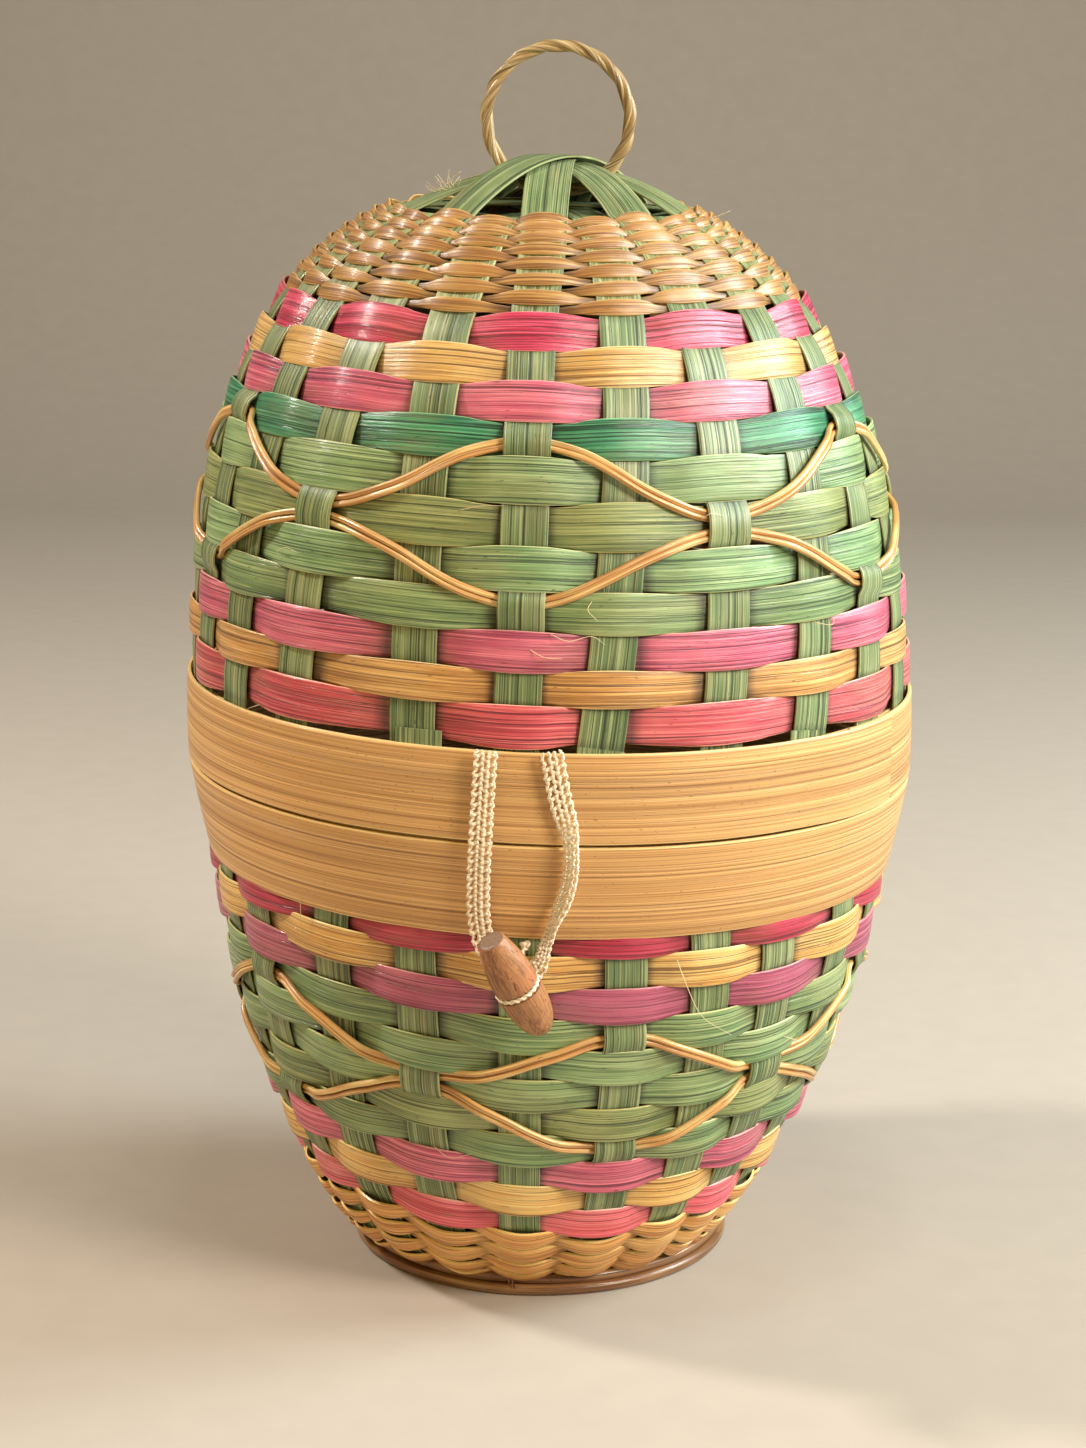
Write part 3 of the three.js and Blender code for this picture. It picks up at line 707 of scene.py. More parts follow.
# Each finish has a base, a deep, a light and an edge tone; a few rows were dyed apart from the others.
dyedApart = {
    "lid_row_05": "weaver_sage",
    "base_row_01": "weaver_claret",
    "base_row_02": "weaver_honey",
    "base_row_10": "weaver_honey",
    "base_row_03": "weaver_mauve",
    "base_row_11": "weaver_rose",
}
tones = {
    "stake_green": ((108, 131, 84), (59, 81, 46), (176, 184, 134), (180, 178, 119), stakeLook),
    "weaver_green": ((122, 151, 95), (75, 102, 59), (175, 192, 134), (206, 203, 140), {}),
    "weaver_leaf": ((130, 162, 106), (82, 114, 67), (185, 205, 150), (203, 210, 152), {}),
    "weaver_olive": ((129, 146, 87), (82, 102, 54), (176, 182, 120), (204, 194, 124), {}),
    "weaver_teal": ((48, 132, 91), (23, 81, 55), (103, 179, 132), (145, 193, 136), {}),
    "weaver_crimson": ((197, 42, 80), (135, 16, 48), (241, 110, 140), (241, 153, 151), {}),
    "weaver_yellow": ((216, 168, 93), (160, 112, 52), (244, 215, 148), (244, 226, 169), {}),
    "weaver_pink": ((207, 88, 118), (144, 48, 81), (247, 145, 162), (247, 178, 173), {}),
    "weaver_ochre": ((208, 152, 83), (152, 102, 47), (246, 198, 125), (247, 215, 153), {}),
    "weaver_coral": ((210, 79, 91), (150, 41, 57), (246, 139, 138), (247, 182, 157), {}),
    "reed_natural": ((214, 156, 90), (143, 94, 48), (247, 222, 152), (223, 163, 94), reedLook),
    "band_bamboo": ((207, 157, 96), (166, 119, 68), (240, 194, 130), (246, 212, 146), bandLook),
    "weave_tan": ((169, 119, 60), (113, 69, 28), (205, 165, 100), (208, 172, 108), caneLook),
    "foot_tan": (
        (231, 163, 89), (163, 102, 48), (247, 209, 132), (247, 210, 131), {**caneLook, "coat": 0.15},
    ),
    "foot_brown": ((123, 81, 46), (73, 44, 23), (166, 126, 83), (129, 85, 48), {**reedLook, "rough": 0.3}),
    "weaver_sage": ((129, 165, 109), (79, 112, 68), (184, 210, 153), (217, 222, 160), {}),
    "weaver_honey": ((233, 178, 96), (172, 118, 53), (247, 220, 142), (247, 231, 163), {}),
    "weaver_claret": ((178, 30, 62), (136, 12, 38), (210, 80, 104), (220, 130, 130), {}),
    "weaver_mauve": ((176, 75, 105), (125, 38, 72), (204, 115, 137), (216, 154, 153), {}),
    "weaver_rose": ((245, 100, 113), (191, 55, 72), (247, 157, 163), (247, 198, 187), {}),
    "rattan_gold": ((157, 128, 83), (86, 60, 35), (213, 196, 148), (180, 153, 104), caneLook),
    "stray_straw": ((226, 204, 160), (204, 176, 128), (240, 224, 190), (226, 204, 160), reedLook),
}
finishes = {name: fibreFinish(name, *parts[:4], **parts[4]) for name, parts in tones.items()}
print("finishes made:", len(finishes))


# Cords: a hairy two-ply thread. Noise is (along, across, detail), levels are (low, high, from, to).
thread = {
    "fine": (700.0, 2200.0, 3.0), "cloud": (90.0, 300.0, 2.0),
    "fineLevels": (0.35, 0.62), "cloudLevels": (0.45, 0.7, 0.0, 0.7),
    "base": (251, 240, 214), "deep": (230, 206, 168), "light": (254, 249, 236),
    "bump": (0.6, 0.0003), "rough": 0.85, "sheen": 0.25,
}


def cordFinish(name):
    material, tree, shader = newMaterial(name)
    grain = readAttribute(tree, "grain", "Vector")
    fine, cloud = (streak(tree, grain, *thread[key]) for key in ("fine", "cloud"))
    base, deep, light = (srgb(*thread[key]) for key in ("base", "deep", "light"))
    colour = mixColour(tree, ramp(tree, fine, *thread["fineLevels"]), deep, base)
    colour = mixColour(tree, ramp(tree, cloud, *thread["cloudLevels"]), colour, light)
    raised = bumped(tree, *thread["bump"], fine)
    give(shader, Base_Color=colour, Normal=raised, Roughness=thread["rough"], Sheen_Weight=thread["sheen"])
    return material


finishes["cord_cream"] = cordFinish("cord_cream")

# Closure loop: a flat netted strap that hangs from the lid band and passes behind the toggle.
strap = {
    "route": [
        (-0.0174, 0.2055), (-0.0183, 0.192), (-0.0192, 0.176), (-0.0198, 0.162), (-0.0196, 0.1500),
        (-0.0174, 0.1400), (-0.0125, 0.1338), (-0.006, 0.1312), (-0.001, 0.1347), (0.0012, 0.142),
        (0.0036, 0.150), (0.0072, 0.1595), (0.0088, 0.169), (0.0083, 0.179), (0.0053, 0.191),
        (0.0026, 0.2055),
    ],
    "width": 0.0074,
    "lanes": 4,
    "laneSpacing": 0.00172,
    "swing": 0.00028,
    "scallop": 0.0007,
    "lift": 0.0002,
    "stitchPitch": 0.0031,
    "stitchReach": 0.0011,
    "stitchLift": 0.001,
    "stitchSlope": 0.0005,
    "stitchSize": 0.0012,
    "stitchFoot": 0.0001,
    "stitchDive": 0.0011,
    "flat": 0.85,
    "threadSize": 0.00128,
    "plyTurn": 2300.0,
    "clearance": 0.0004,
    "halfThickness": 0.001,
    "bandReach": 0.0023,
    "weaveReach": 0.0017,
    "bandFoot": 0.1412,
    "turned": math.radians(-58),
    "turnedLift": 0.0022,
    "turnedFrom": (0.190, 0.174),
    "turnedTo": (0.140, 0.152),
    "rightLeg": (-0.003, 0.0015),
    "gathered": 0.5,
    "gatheredFrom": (0.158, 0.146),
    "steps": 640,
}


def wallReachAt(z):
    radius = egg["bodyRadius"] if z >= egg["seam"] else baseRadiusAt(z)
    reach = strap["bandReach"] if z > strap["bandFoot"] else strap["weaveReach"]
    return (radius + reach) / math.cos(math.pi / weave["stakes"])


# A smooth line through points (a centripetal spline), evenly stepped.
def smoothLine(points, count):
    padded = [points[0] * 2 - points[1], *points, points[-1] * 2 - points[-2]]
    fine = []
    for i in range(1, len(padded) - 2):
        p0, p1, p2, p3 = padded[i - 1 : i + 3]
        t1 = (p1 - p0).length ** 0.5
        t2 = t1 + (p2 - p1).length ** 0.5
        t3 = t2 + (p3 - p2).length ** 0.5
        for j in range(24):
            t = t1 + (t2 - t1) * j / 24
            a1 = p0 * ((t1 - t) / t1) + p1 * (t / t1)
            a2 = p1 * ((t2 - t) / (t2 - t1)) + p2 * ((t - t1) / (t2 - t1))
            a3 = p2 * ((t3 - t) / (t3 - t2)) + p3 * ((t - t2) / (t3 - t2))
            b1 = a1 * ((t2 - t) / t2) + a2 * (t / t2)
            b2 = a2 * ((t3 - t) / (t3 - t1)) + a3 * ((t - t1) / (t3 - t1))
            fine.append(b1 * ((t2 - t) / (t2 - t1)) + b2 * ((t - t1) / (t2 - t1)))
    fine.append(points[-1].copy())
    return evenLine(fine, count)


def evenLine(fine, count):
    lengths = [0.0]
    for a, b in zip(fine, fine[1:]):
        lengths.append(lengths[-1] + (b - a).length)
    line, k = [], 0
    for i in range(count + 1):
        target = lengths[-1] * i / count
        while k < len(fine) - 2 and lengths[k + 1] < target:
            k += 1
        share = (target - lengths[k]) / max(1e-9, lengths[k + 1] - lengths[k])
        line.append(fine[k].lerp(fine[k + 1], min(1.0, share)))
    return line


def lengthOf(line):
    return sum((b - a).length for a, b in zip(line, line[1:]))


def strapLine():
    points = []
    for x, z in strap["route"]:
        reach = wallReachAt(z) + strap["clearance"] + strap["halfThickness"]
        points.append(Vector((x, -math.sqrt(reach**2 - x**2), z)))
    return smoothLine(points, strap["steps"])


# The strap's own frame along its route; the right leg is turned edge on, and drawn together by the toggle.
def strapFrames(line):
    frames = []
    for i, p in enumerate(line):
        tangent = (line[min(len(line) - 1, i + 1)] - line[max(0, i - 1)]).normalized()
        out = Vector((p.x, p.y, 0)).normalized()
        out = (out - tangent * out.dot(tangent)).normalized()
        onRight = smooth(*strap["rightLeg"], p.x)
        edgeOn = smooth(*strap["turnedFrom"], p.z) * smooth(*strap["turnedTo"], p.z) * onRight
        facing = Matrix.Rotation(strap["turned"] * edgeOn, 3, tangent) @ out
        gather = 1 - strap["gathered"] * smooth(*strap["gatheredFrom"], p.z) * onRight
        frames.append((p + out * (strap["turnedLift"] * edgeOn), tangent.cross(facing) * gather, facing))
    return frames


# A crocheted ribbon: threads run along it, its edges are scalloped and short stitches tie the threads.
def crochetedThreads(line, guides):
    frames = strapFrames(line)
    length, last, pitch = lengthOf(line), strap["lanes"] - 1, strap["stitchPitch"]
    thick = strap["threadSize"] * strap["flat"]
    for lane in range(strap["lanes"]):
        points, outs = [], []
        edge = -1 if lane == 0 else 1 if lane == last else 0
        for i, (place, side, facing) in enumerate(frames):
            turn = math.pi * length * i / (len(frames) - 1) / pitch
            phase = 2 * turn + lane * math.pi
            across = (lane - last / 2) * strap["laneSpacing"] + edge * strap["scallop"] * abs(math.sin(turn))
            across += (0 if edge else 1) * strap["swing"] * math.sin(phase)
            points.append(place + side * across + facing * (strap["lift"] * math.cos(phase)))
            outs.append(facing)
        guides.add(points, outs, strap["threadSize"], thick, lane + 1, strap["plyTurn"])
    for gap in range(last):
        across = (gap - last / 2 + 0.5) * strap["laneSpacing"]
        for k in range(int(length / pitch - 0.5)):
            along = (k + 0.5 + (gap % 2) / 2) * pitch
            index = round(along / length * (len(frames) - 1))
            shortStitch(frames[index], across, 1 - 2 * (gap % 2), guides)


def shortStitch(frame, across, slope, guides):
    place, side, facing = frame
    tangent = facing.cross(side)
    points = []
    for i in range(11):
        u = 2 * i / 10 - 1
        height = strap["stitchFoot"] + strap["stitchLift"] * u * u
        height -= strap["stitchDive"] * smooth(0.86, 1.0, abs(u))
        sideways = side * (across + u * strap["stitchReach"])
        points.append(place + sideways + tangent * (slope * u * strap["stitchSlope"]) + facing * height)
    guides.add(points, [facing] * len(points), strap["stitchSize"], strap["stitchSize"] * strap["flat"], 7)


strapPath = strapLine()
loopGuides = Guides()
crochetedThreads(strapPath, loopGuides)
loop = sweep("closure_loop_netting", loopGuides, "ply", finishes["cord_cream"], {"sharp": 180})
settle(loop, "closure_loop", "lid")
strapLength = lengthOf(strapPath)
tuple(strapPath[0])
[tuple(p) for p in strapPath[::10]]
print("closure loop netted, length", round(strapLength, 4))

# Rows: splints woven in front of every second stake, with lens shaped faces.
rows = {
    "steps": 12,
    "thickness": 0.0008,
    "rise": 0.0018,
    "dip": 0.0014,
    "fill": 0.99,
    "swell": 0.11,
    "swellVary": 0.05,
    "wander": 0.0005,
    "crest": 0.0005,
    "shingle": 0.35,
    "bend": 0.585,
    "look": {
        "relief": 0.00022, "reliefAlong": 9.0, "reliefAcross": 700.0, "edgeWander": 0.0005, "cup": 0.00025,
    },
}
lidRows = {
    "start": 0.0305,
    "pitches": [0.0127, 0.0108, 0.0120, 0.0123, 0.0130, 0.0137, 0.0138, 0.0118, 0.0118, 0.0118, 0.0117],
    "overFirst": 0,
}
baseRows = {"start": 0.0322, "pitches": [0.0068] + [0.01123] * 10, "overFirst": 1}


def lobeAt(half, s, stake, parity):
    c = math.cos(math.pi * (stake - parity))
    bend = rows["bend"] / max(0.12, math.cos(math.pi * half.fill(s)))
    return math.tanh(bend * c) / math.tanh(bend)


# Painted shade: a strand is darkened where it dives under a stake, and a little towards both ends of each
# hump; c is 1 on its crest and -1 behind the stake.
def hollowShade(c):
    (wideSpan, wideTone), (softSpan, softTone) = weave["wideHollow"], weave["softHollow"]
    return mix(wideTone, 1.0, smooth(*wideSpan, c)) * mix(softTone, 1.0, smooth(*softSpan, c))


# Where a strand runs, counted in stakes: it starts and ends behind a stake at the back.
def roundStakes(parity, steps):
    count = weave["stakes"] * steps
    start = weave["stakes"] // 2 + 1 - parity
    run = weave["stakes"] - 2 * weave["endGap"]
    return [start + weave["endGap"] + run * i / count for i in range(count + 1)]


def wovenRow(half, s0, height, parity, lane, guides):
    def sampleAt(stake):
        s = s0 + rows["wander"] * wander(stake * 0.6, lane)
        lobe = lobeAt(half, s, stake, parity)
        out = lobe * (rows["rise"] if lobe > 0 else rows["dip"])
        crest = rows["crest"] * max(0.0, lobe) * wander(round(stake) * 1.7, lane + 50)
        point, normal = half.at(stake, s + crest, out)
        uneven = 1 + rows["swellVary"] * wander(round(stake) * 2.3, lane + 90)
        wide = height * (rows["fill"] + rows["swell"] * lobe) * uneven
        shade = hollowShade(math.cos(math.pi * (stake - parity)))
        return point, half.shingled(point, normal, rows["shingle"]), wide, shade

    guides.addSamples(map(sampleAt, roundStakes(parity, rows["steps"])), rows["thickness"], lane)


def rowStarts(values):
    starts, s = [], values["start"]
    for pitch in values["pitches"]:
        starts.append((s + pitch / 2, pitch))
        s += pitch
    return starts, s


for prefix, half, values in (("lid", lid, lidRows), ("base", base, baseRows)):
    starts, values["end"] = rowStarts(values)
    for i, (s0, height) in enumerate(starts):
        node = f"{prefix}_row_{i + 1:02d}"
        guides = Guides()
        wovenRow(half, s0, height, (i + values["overFirst"]) % 2, i + half.seed, guides)
        finish = finishes[dyedApart.get(node, slotOf[node])]
        settle(sweep(node + "_splint", guides, "splint", finish, rows["look"]), node, prefix)
print("rows woven")

# Reeds: pairs of round rods that wave over the rows and tuck under every second stake that they meet.
reeds = {
    "diameter": 0.00205,
    "spacing": 0.00215,
    "pairSpacing": 0.0049,
    "outside": 0.0031,
    "under": 0.00015,
    "wander": 0.0004,
    "endGap": 0.008,
    "steps": 14,
    "look": {"relief": 0.00006, "reliefAcross": 900.0, "edgeWander": 0.0001, "sharp": 180},
}
lidReeds = {"row": 5, "upper": 0.1240, "lower": 0.0745, "turn": 0}
baseReeds = {"row": 5, "upper": 0.0682, "lower": 0.1122, "turn": 1}
halves = {"lid": (lid, lidRows, lidReeds), "base": (base, baseRows, baseReeds)}


def rowMiddle(values, index):
    return values["start"] + sum(values["pitches"][:index]) + values["pitches"][index] / 2


def reedRod(half, rowsOf, values, label, rod, guides):
    middle = rowMiddle(rowsOf, values["row"])
    target = values[label]
    side = 1 if target > middle else -1
    near = middle + side * reeds["pairSpacing"] / 2
    count = weave["stakes"] * reeds["steps"]
    run = weave["stakes"] - 2 * reeds["endGap"]

    def placeAt(i):
        stake = values["turn"] + weave["stakes"] / 2 + reeds["endGap"] + run * i / count
        fromTurn = stake - values["turn"]
        swing = (1 + math.cos(math.pi * fromTurn / 2)) / 2
        s = near + (target - near) * swing + rod * reeds["spacing"] / 2
        s += reeds["wander"] * wander(stake * 0.8, 3 + rod + half.seed)
        away = abs(fromTurn / 2 - round(fromTurn / 2)) * 2
        return half.at(stake, s, mix(reeds["under"], reeds["outside"], smooth(0.25, 0.66, away)))

    guides.trace(range(count + 1), placeAt, reeds["diameter"], reeds["diameter"], 2 + rod)


for prefix, half in halves.items():
    for label in ("upper", "lower"):
        node = f"{prefix}_reed_{label}"
        guides = Guides()
        for rod in (-1, 1):
            reedRod(*half, label, rod, guides)
        settle(sweep(node + "_rods", guides, "rod", finishes["reed_natural"], reeds["look"]), node, prefix)
print("reeds laid")

# Stakes: strips that run up one side, cross at the apex or the floor and run down the other side.
stakes = {
    "step": 0.0024,
    "heave": 0.00028,
    "tuckLift": 0.0019,
    "crossTuck": 0.0056,
    "reedTuck": 0.0038,
    "sizeVary": 0.05,
    "topWidth": 0.0150,
    "underWidth": 0.0138,
    "widthFrom": 0.080,
    "crossSteps": 40,
    "topRise": 0.0126,
    "topLayer": 0.0013,
    "underRise": -0.0058,
    "underLayer": 0.0013,
    "backRise": 0.0085,
    "apexShift": 0.0026,
    "floorRise": 0.008,
    "floorLayer": 0.0013,
    "starLayer": 0.0009,
    "floorRun": (0.059, 0.040),
    "look": {
        "relief": 0.00013, "reliefAlong": 14.0, "reliefAcross": 700.0, "edgeWander": 0.00035, "cup": 0.0001,
    },
}


# How far a stake is pushed out by the reeds that pass behind it.
def tuckLift(stake, s, rowsOf, values):
    step = (stake - values["turn"]) % 4
    if step == 2:
        tucks = [(rowMiddle(rowsOf, values["row"]), stakes["crossTuck"])]
    elif step == 0:
        tucks = [(values[label], stakes["reedTuck"]) for label in ("upper", "lower")]
    else:
        return 0.0
    return sum(stakes["tuckLift"] / (1 + (abs(s - at) / reach) ** 6) for at, reach in tucks)


def stakeWall(half, rowsOf, values, stake, tipWidth):
    starts, end = rowStarts(rowsOf)
    firstOver = rowsOf["overFirst"]
    count = round((half.length - weave["tuck"]) / stakes["step"])
    size = 1 + stakes["sizeVary"] * wander(stake * 3.3, half.seed)
    wall = []
    for i in range(count + 1):
        s = mix(weave["tuck"], half.length, i / count)
        out, over = 0.0, 1.0
        for k, (middle, height) in enumerate(starts):
            if abs(s - middle) <= height / 2:
                sign = -1 if (k + firstOver) % 2 == stake % 2 else 1
                over = sign * math.cos(math.pi * (s - middle) / height)
                out = stakes["heave"] * over
        out += tuckLift(stake, s, rowsOf, values)
        point, normal = half.at(stake, s, out)
        r = math.hypot(point.x, point.y)
        width = mix(tipWidth, half.stakeWidth * size, smooth(half.path[-1][1], stakes["widthFrom"], r))
        # The last value is painted shade, darker where the stake dives under a row.
        wall.append((point, normal, width, mix(0.4, 1.0, smooth(-0.15, 0.4, over))))
    return wall


def throughStrip(parts, stake, tipWidth, heightAt, shift, lane, guides):
    one, other = (stakeWall(*parts, k, tipWidth) for k in (stake, stake + weave["stakes"] // 2))
    a, b = one[-1][0], other[-1][0]
    out = Vector((0, 0, 1 if parts[0] is lid else -1))
    middle = []
    for i in range(1, stakes["crossSteps"]):
        t = 1 - 2 * i / stakes["crossSteps"]
        point = b.lerp(a, (t + 1) / 2)
        point.z += heightAt(t)
        point.x += shift * (1 - t * t)
        middle.append((point, out, tipWidth, 1.0))
    guides.addSamples(one + middle + other[::-1], weave["stakeThickness"], lane)


def stripOrder():
    half = weave["stakes"] // 4
    return sorted(range(1 - half, half + 1), key=lambda k: (abs(k), -k))


def dome(rise):
    return lambda t: rise * (1 - t * t)


# An under strip rises towards the back, behind the ring, and t runs from 1 in front to -1 behind.
def lowDome(rise, stake):
    back = stakes["backRise"] * math.cos(math.radians(weave["stepDegrees"] * stake)) ** 2
    return lambda t: rise * (1 - t * t) + back * smooth(0.12, 0.5, -t) * (1 - t * t)


# The upper crossing is laid in its own order, from the lowest strip up.
def lidStakes():
    laid = [-4, 4, 2, 0, -2]
    upper = [k for k in stripOrder() if k in laid]
    under = [k for k in stripOrder() if k not in laid][::-1]
    under.sort(key=lambda k: -(k % 2))
    for i, stake in enumerate(upper):
        guides = Guides()
        arch = dome(stakes["topRise"] + laid.index(stake) * stakes["topLayer"])
        shift = stakes["apexShift"] if stake else 0.0
        throughStrip(halves["lid"], stake, stakes["topWidth"], arch, shift, i, guides)
        yield f"lid_top_strip_{i + 1}", guides
    for i, stake in enumerate(under):
        guides = Guides()
        low = lowDome(stakes["underRise"] + i * stakes["underLayer"], stake)
        throughStrip(halves["lid"], stake, stakes["underWidth"], low, stakes["apexShift"], i + 7, guides)
        yield f"lid_under_strip_{i + 1}", guides


def floorRise(rise):
    start, full = (r / egg["floorRadius"] for r in stakes["floorRun"])
    return lambda t: rise * smooth(start, full, abs(t))


def baseStakes():
    star = Guides()
    for layer, stake in enumerate(k for k in stripOrder() if k % 2):
        rise = floorRise(layer * stakes["starLayer"])
        throughStrip(halves["base"], stake, stakes["underWidth"], rise, 0.0, layer + 20, star)
    yield "base_floor_star", star
    for layer, stake in enumerate(k for k in stripOrder() if k % 2 == 0):
        guides = Guides()
        rise = floorRise(stakes["floorRise"] + layer * stakes["floorLayer"])
        throughStrip(halves["base"], stake, stakes["underWidth"], rise, 0.0, layer + 30, guides)
        yield f"base_strip_{layer + 1}", guides


for prefix, strips in (("lid", lidStakes()), ("base", baseStakes())):
    for node, guides in strips:
        piece = sweep(node + "_splint", guides, "splint", finishes["stake_green"], stakes["look"])
        settle(piece, node, prefix)
print("stakes run through")

# Cut splint ends above the lid's band and one doubled stake: stake, low end, high end, width and lift.
ends = {
    "pieces": [
        (1.0, 0.0220, 0.0300, 0.0148, 0.0009),
        (2.9, 0.0220, 0.0312, 0.0120, 0.0009),
        (-0.92, 0.0220, 0.0336, 0.0152, 0.0013),
    ],
    "steps": 8,
    "thickness": 0.0007,
    "look": {"relief": 0.00013, "reliefAlong": 14.0, "reliefAcross": 700.0, "edgeWander": 0.0003},
}
guides = Guides()
for lane, (stake, low, high, width, out) in enumerate(ends["pieces"]):
    heights = [mix(low, high, i / ends["steps"]) for i in range(ends["steps"] + 1)]
    guides.trace(heights, lambda s: lid.at(stake, s, out), width, ends["thickness"], lane + 60)
piece = sweep("lid_stake_ends", guides, "splint", finishes["stake_green"], ends["look"])
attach(piece, "lid")
print("stake ends set")

# Crown weave: many thin glossy strands that grow finer upwards; foot weave: fewer, wider and tighter.
crown = {
    "count": 14,
    "steps": 14,
    "thickness": 0.0009,
    "pitches": (0.0037, 0.0025),
    "crest": (1.42, 1.52),
    "crossing": 0.76,
    "behind": 0.55,
    "rise": 0.0019,
    "dip": 0.0010,
    "shingle": 0.45,
    "slip": 0.0004,
    "bend": 1.0,
    "look": {
        "relief": 0.00010, "reliefAlong": 14.0, "reliefAcross": 1300.0, "edgeWander": 0.00035, "sharp": 28,
    },
}
foot = {
    "count": 8,
    "steps": 14,
    "thickness": 0.0013,
    "pitches": (0.0040, 0.0036),
    "crest": (1.84, 1.8),
    "crossing": 1.0,
    "behind": 0.8,
    "rise": 0.0026,
    "dip": 0.0010,
    "shingle": 0.1,
    "slip": -0.0013,
    "bend": 0.8,
    "look": {
        "relief": 0.00030, "reliefAlong": 10.0, "reliefAcross": 900.0, "edgeWander": 0.0005, "sharp": 32,
    },
}
strandWander = 0.0004
strandVary = 0.22


# Strands in plain weave: each hump slips along the wall as it swells, and each strand lies on the last one.
def plainStrand(half, s0, height, crest, parity, k, values):
    def sampleAt(stake):
        c = math.cos(math.pi * (stake - parity))
        lobe = math.tanh(values["bend"] * c) / math.tanh(values["bend"])
        out = lobe * (values["rise"] if lobe > 0 else values["dip"])
        s = s0 + strandWander * wander(stake * 0.9, k + 40) - values["slip"] * max(0.0, lobe) ** 2
        point, normal = half.at(stake, min(s, half.length), out)
        size = height * (1 + strandVary * wander(round(stake) * 3.1, k + 60))
        swell = mix(values["crossing"], crest if lobe > 0 else values["behind"], abs(lobe))
        # Painted shade, darker where the strand dives under a stake.
        shade = mix(0.4, 1.0, smooth(-0.5, 0.35, c))
        return point, half.shingled(point, normal, values["shingle"]), size * swell, shade

    return map(sampleAt, roundStakes(parity, values["steps"]))


def plainStrands(half, start, values, firstOver, guides):
    last = values["count"] - 1
    pitches = [mix(*values["pitches"], k / last) for k in range(last + 1)]
    spread = (half.length - start) / sum(pitches)
    s0 = start
    for k, pitch in enumerate(pitches):
        pitch *= spread
        s0 += pitch / 2
        crest = mix(*values["crest"], k / last)
        samples = plainStrand(half, s0, pitch, crest, (k + firstOver) % 2, k, values)
        guides.addSamples(samples, values["thickness"], k)
        s0 += pitch / 2


for node, half, start, values, firstOver, tone in (
    ("lid_crown_weave", lid, lidRows["end"] + 0.0012, crown, 1, "weave_tan"),
    ("base_foot_weave", base, baseRows["end"] - 0.0004, foot, 0, "foot_tan"),
):
    guides = Guides()
    plainStrands(half, start, values, firstOver, guides)
    settle(sweep(node + "_strands", guides, "peel", finishes[tone], values["look"]), node, bodyOf(node))
print("crown and foot woven")

# Bands: wide splints round each half's rim, lapped where they end.
bands = {
    "steps": 16,
    "thickness": 0.0014,
    "outer": 0.0017,
    "inner": -0.0016,
    "lap": 0.8,
    "lapRise": 0.0013,
    "look": {
        "relief": 0.00012, "reliefAlong": 4.0, "reliefAcross": 900.0, "edgeWander": 0.0003, "cup": 0.0003,
    },
}


def bandGuide(half, low, high, out, start, lane, guides):
    total = weave["stakes"] + bands["lap"]
    count = round(total * bands["steps"])

    def placeAt(i):
        stake = start + total * i / count
        rise = bands["lapRise"] * smooth(weave["stakes"] - 0.9, weave["stakes"] + 0.05, stake - start)
        return half.at(stake, (low + high) / 2, out + math.copysign(rise, out))

    guides.trace(range(count + 1), placeAt, high - low, bands["thickness"], lane)


for node, half, low, high, out, start, lane in (
    ("lid_band", lid, 0.0, 0.0288, bands["outer"], 3.55 - 24, 1),
    ("lid_inner_band", lid, 0.0004, 0.0276, bands["inner"], 8.0, 2),
    ("base_band", base, 0.0, 0.0319, bands["outer"], 10.4, 3),
    ("base_inner_band", base, 0.0004, 0.0319, bands["inner"], 15.0, 4),
):
    guides = Guides()
    bandGuide(half, low, high, out, start, lane, guides)
    piece = sweep(node + "_splint", guides, "band", finishes["band_bamboo"], bands["look"])
    settle(piece, node, bodyOf(node))
print("bands bent round")

# Ring handle: three canes twisted round each other.
ring = {
    "radius": 0.0238,
    "centre": (0.00399, -0.00026, 0.39126),
    "strands": 3,
    "strandWidth": 0.0025,
    "strandThickness": 0.0019,
    "helix": 0.00125,
    "turns": 5,
    "turnVary": 0.5,
    "reachVary": 0.18,
    "steps": 260,
    "look": {"relief": 0.0001, "reliefAcross": 1100.0, "edgeWander": 0.0003, "sharp": 70},
}


def ringStrand(strand, guides):
    centre = Vector(ring["centre"])
    turn = Matrix.Rotation(weave["turn"], 3, "Z")
    sideways = turn @ Vector((0, 1, 0))

    def placeAt(i):
        share = 0.001 + 0.998 * i / ring["steps"]
        a = 2 * math.pi * share - math.pi / 2
        loose = 1 + ring["reachVary"] * wander(share * 14, strand + 5)
        b = 2 * math.pi * (ring["turns"] * share + strand / ring["strands"])
        b += ring["turnVary"] * wander(share * 9, strand)
        radial = turn @ Vector((math.cos(a), 0, math.sin(a)))
        lean = radial * math.cos(b) + sideways * math.sin(b)
        return centre + radial * ring["radius"] + lean * ring["helix"] * loose, lean

    guides.trace(range(ring["steps"] + 1), placeAt, ring["strandWidth"], ring["strandThickness"], strand)


guides = Guides()
for strand in range(ring["strands"]):
    ringStrand(strand, guides)
piece = sweep("handle_ring_canes", guides, "cane", finishes["rattan_gold"], ring["look"])
settle(piece, "handle_ring", "handle")
print("ring handle twisted")

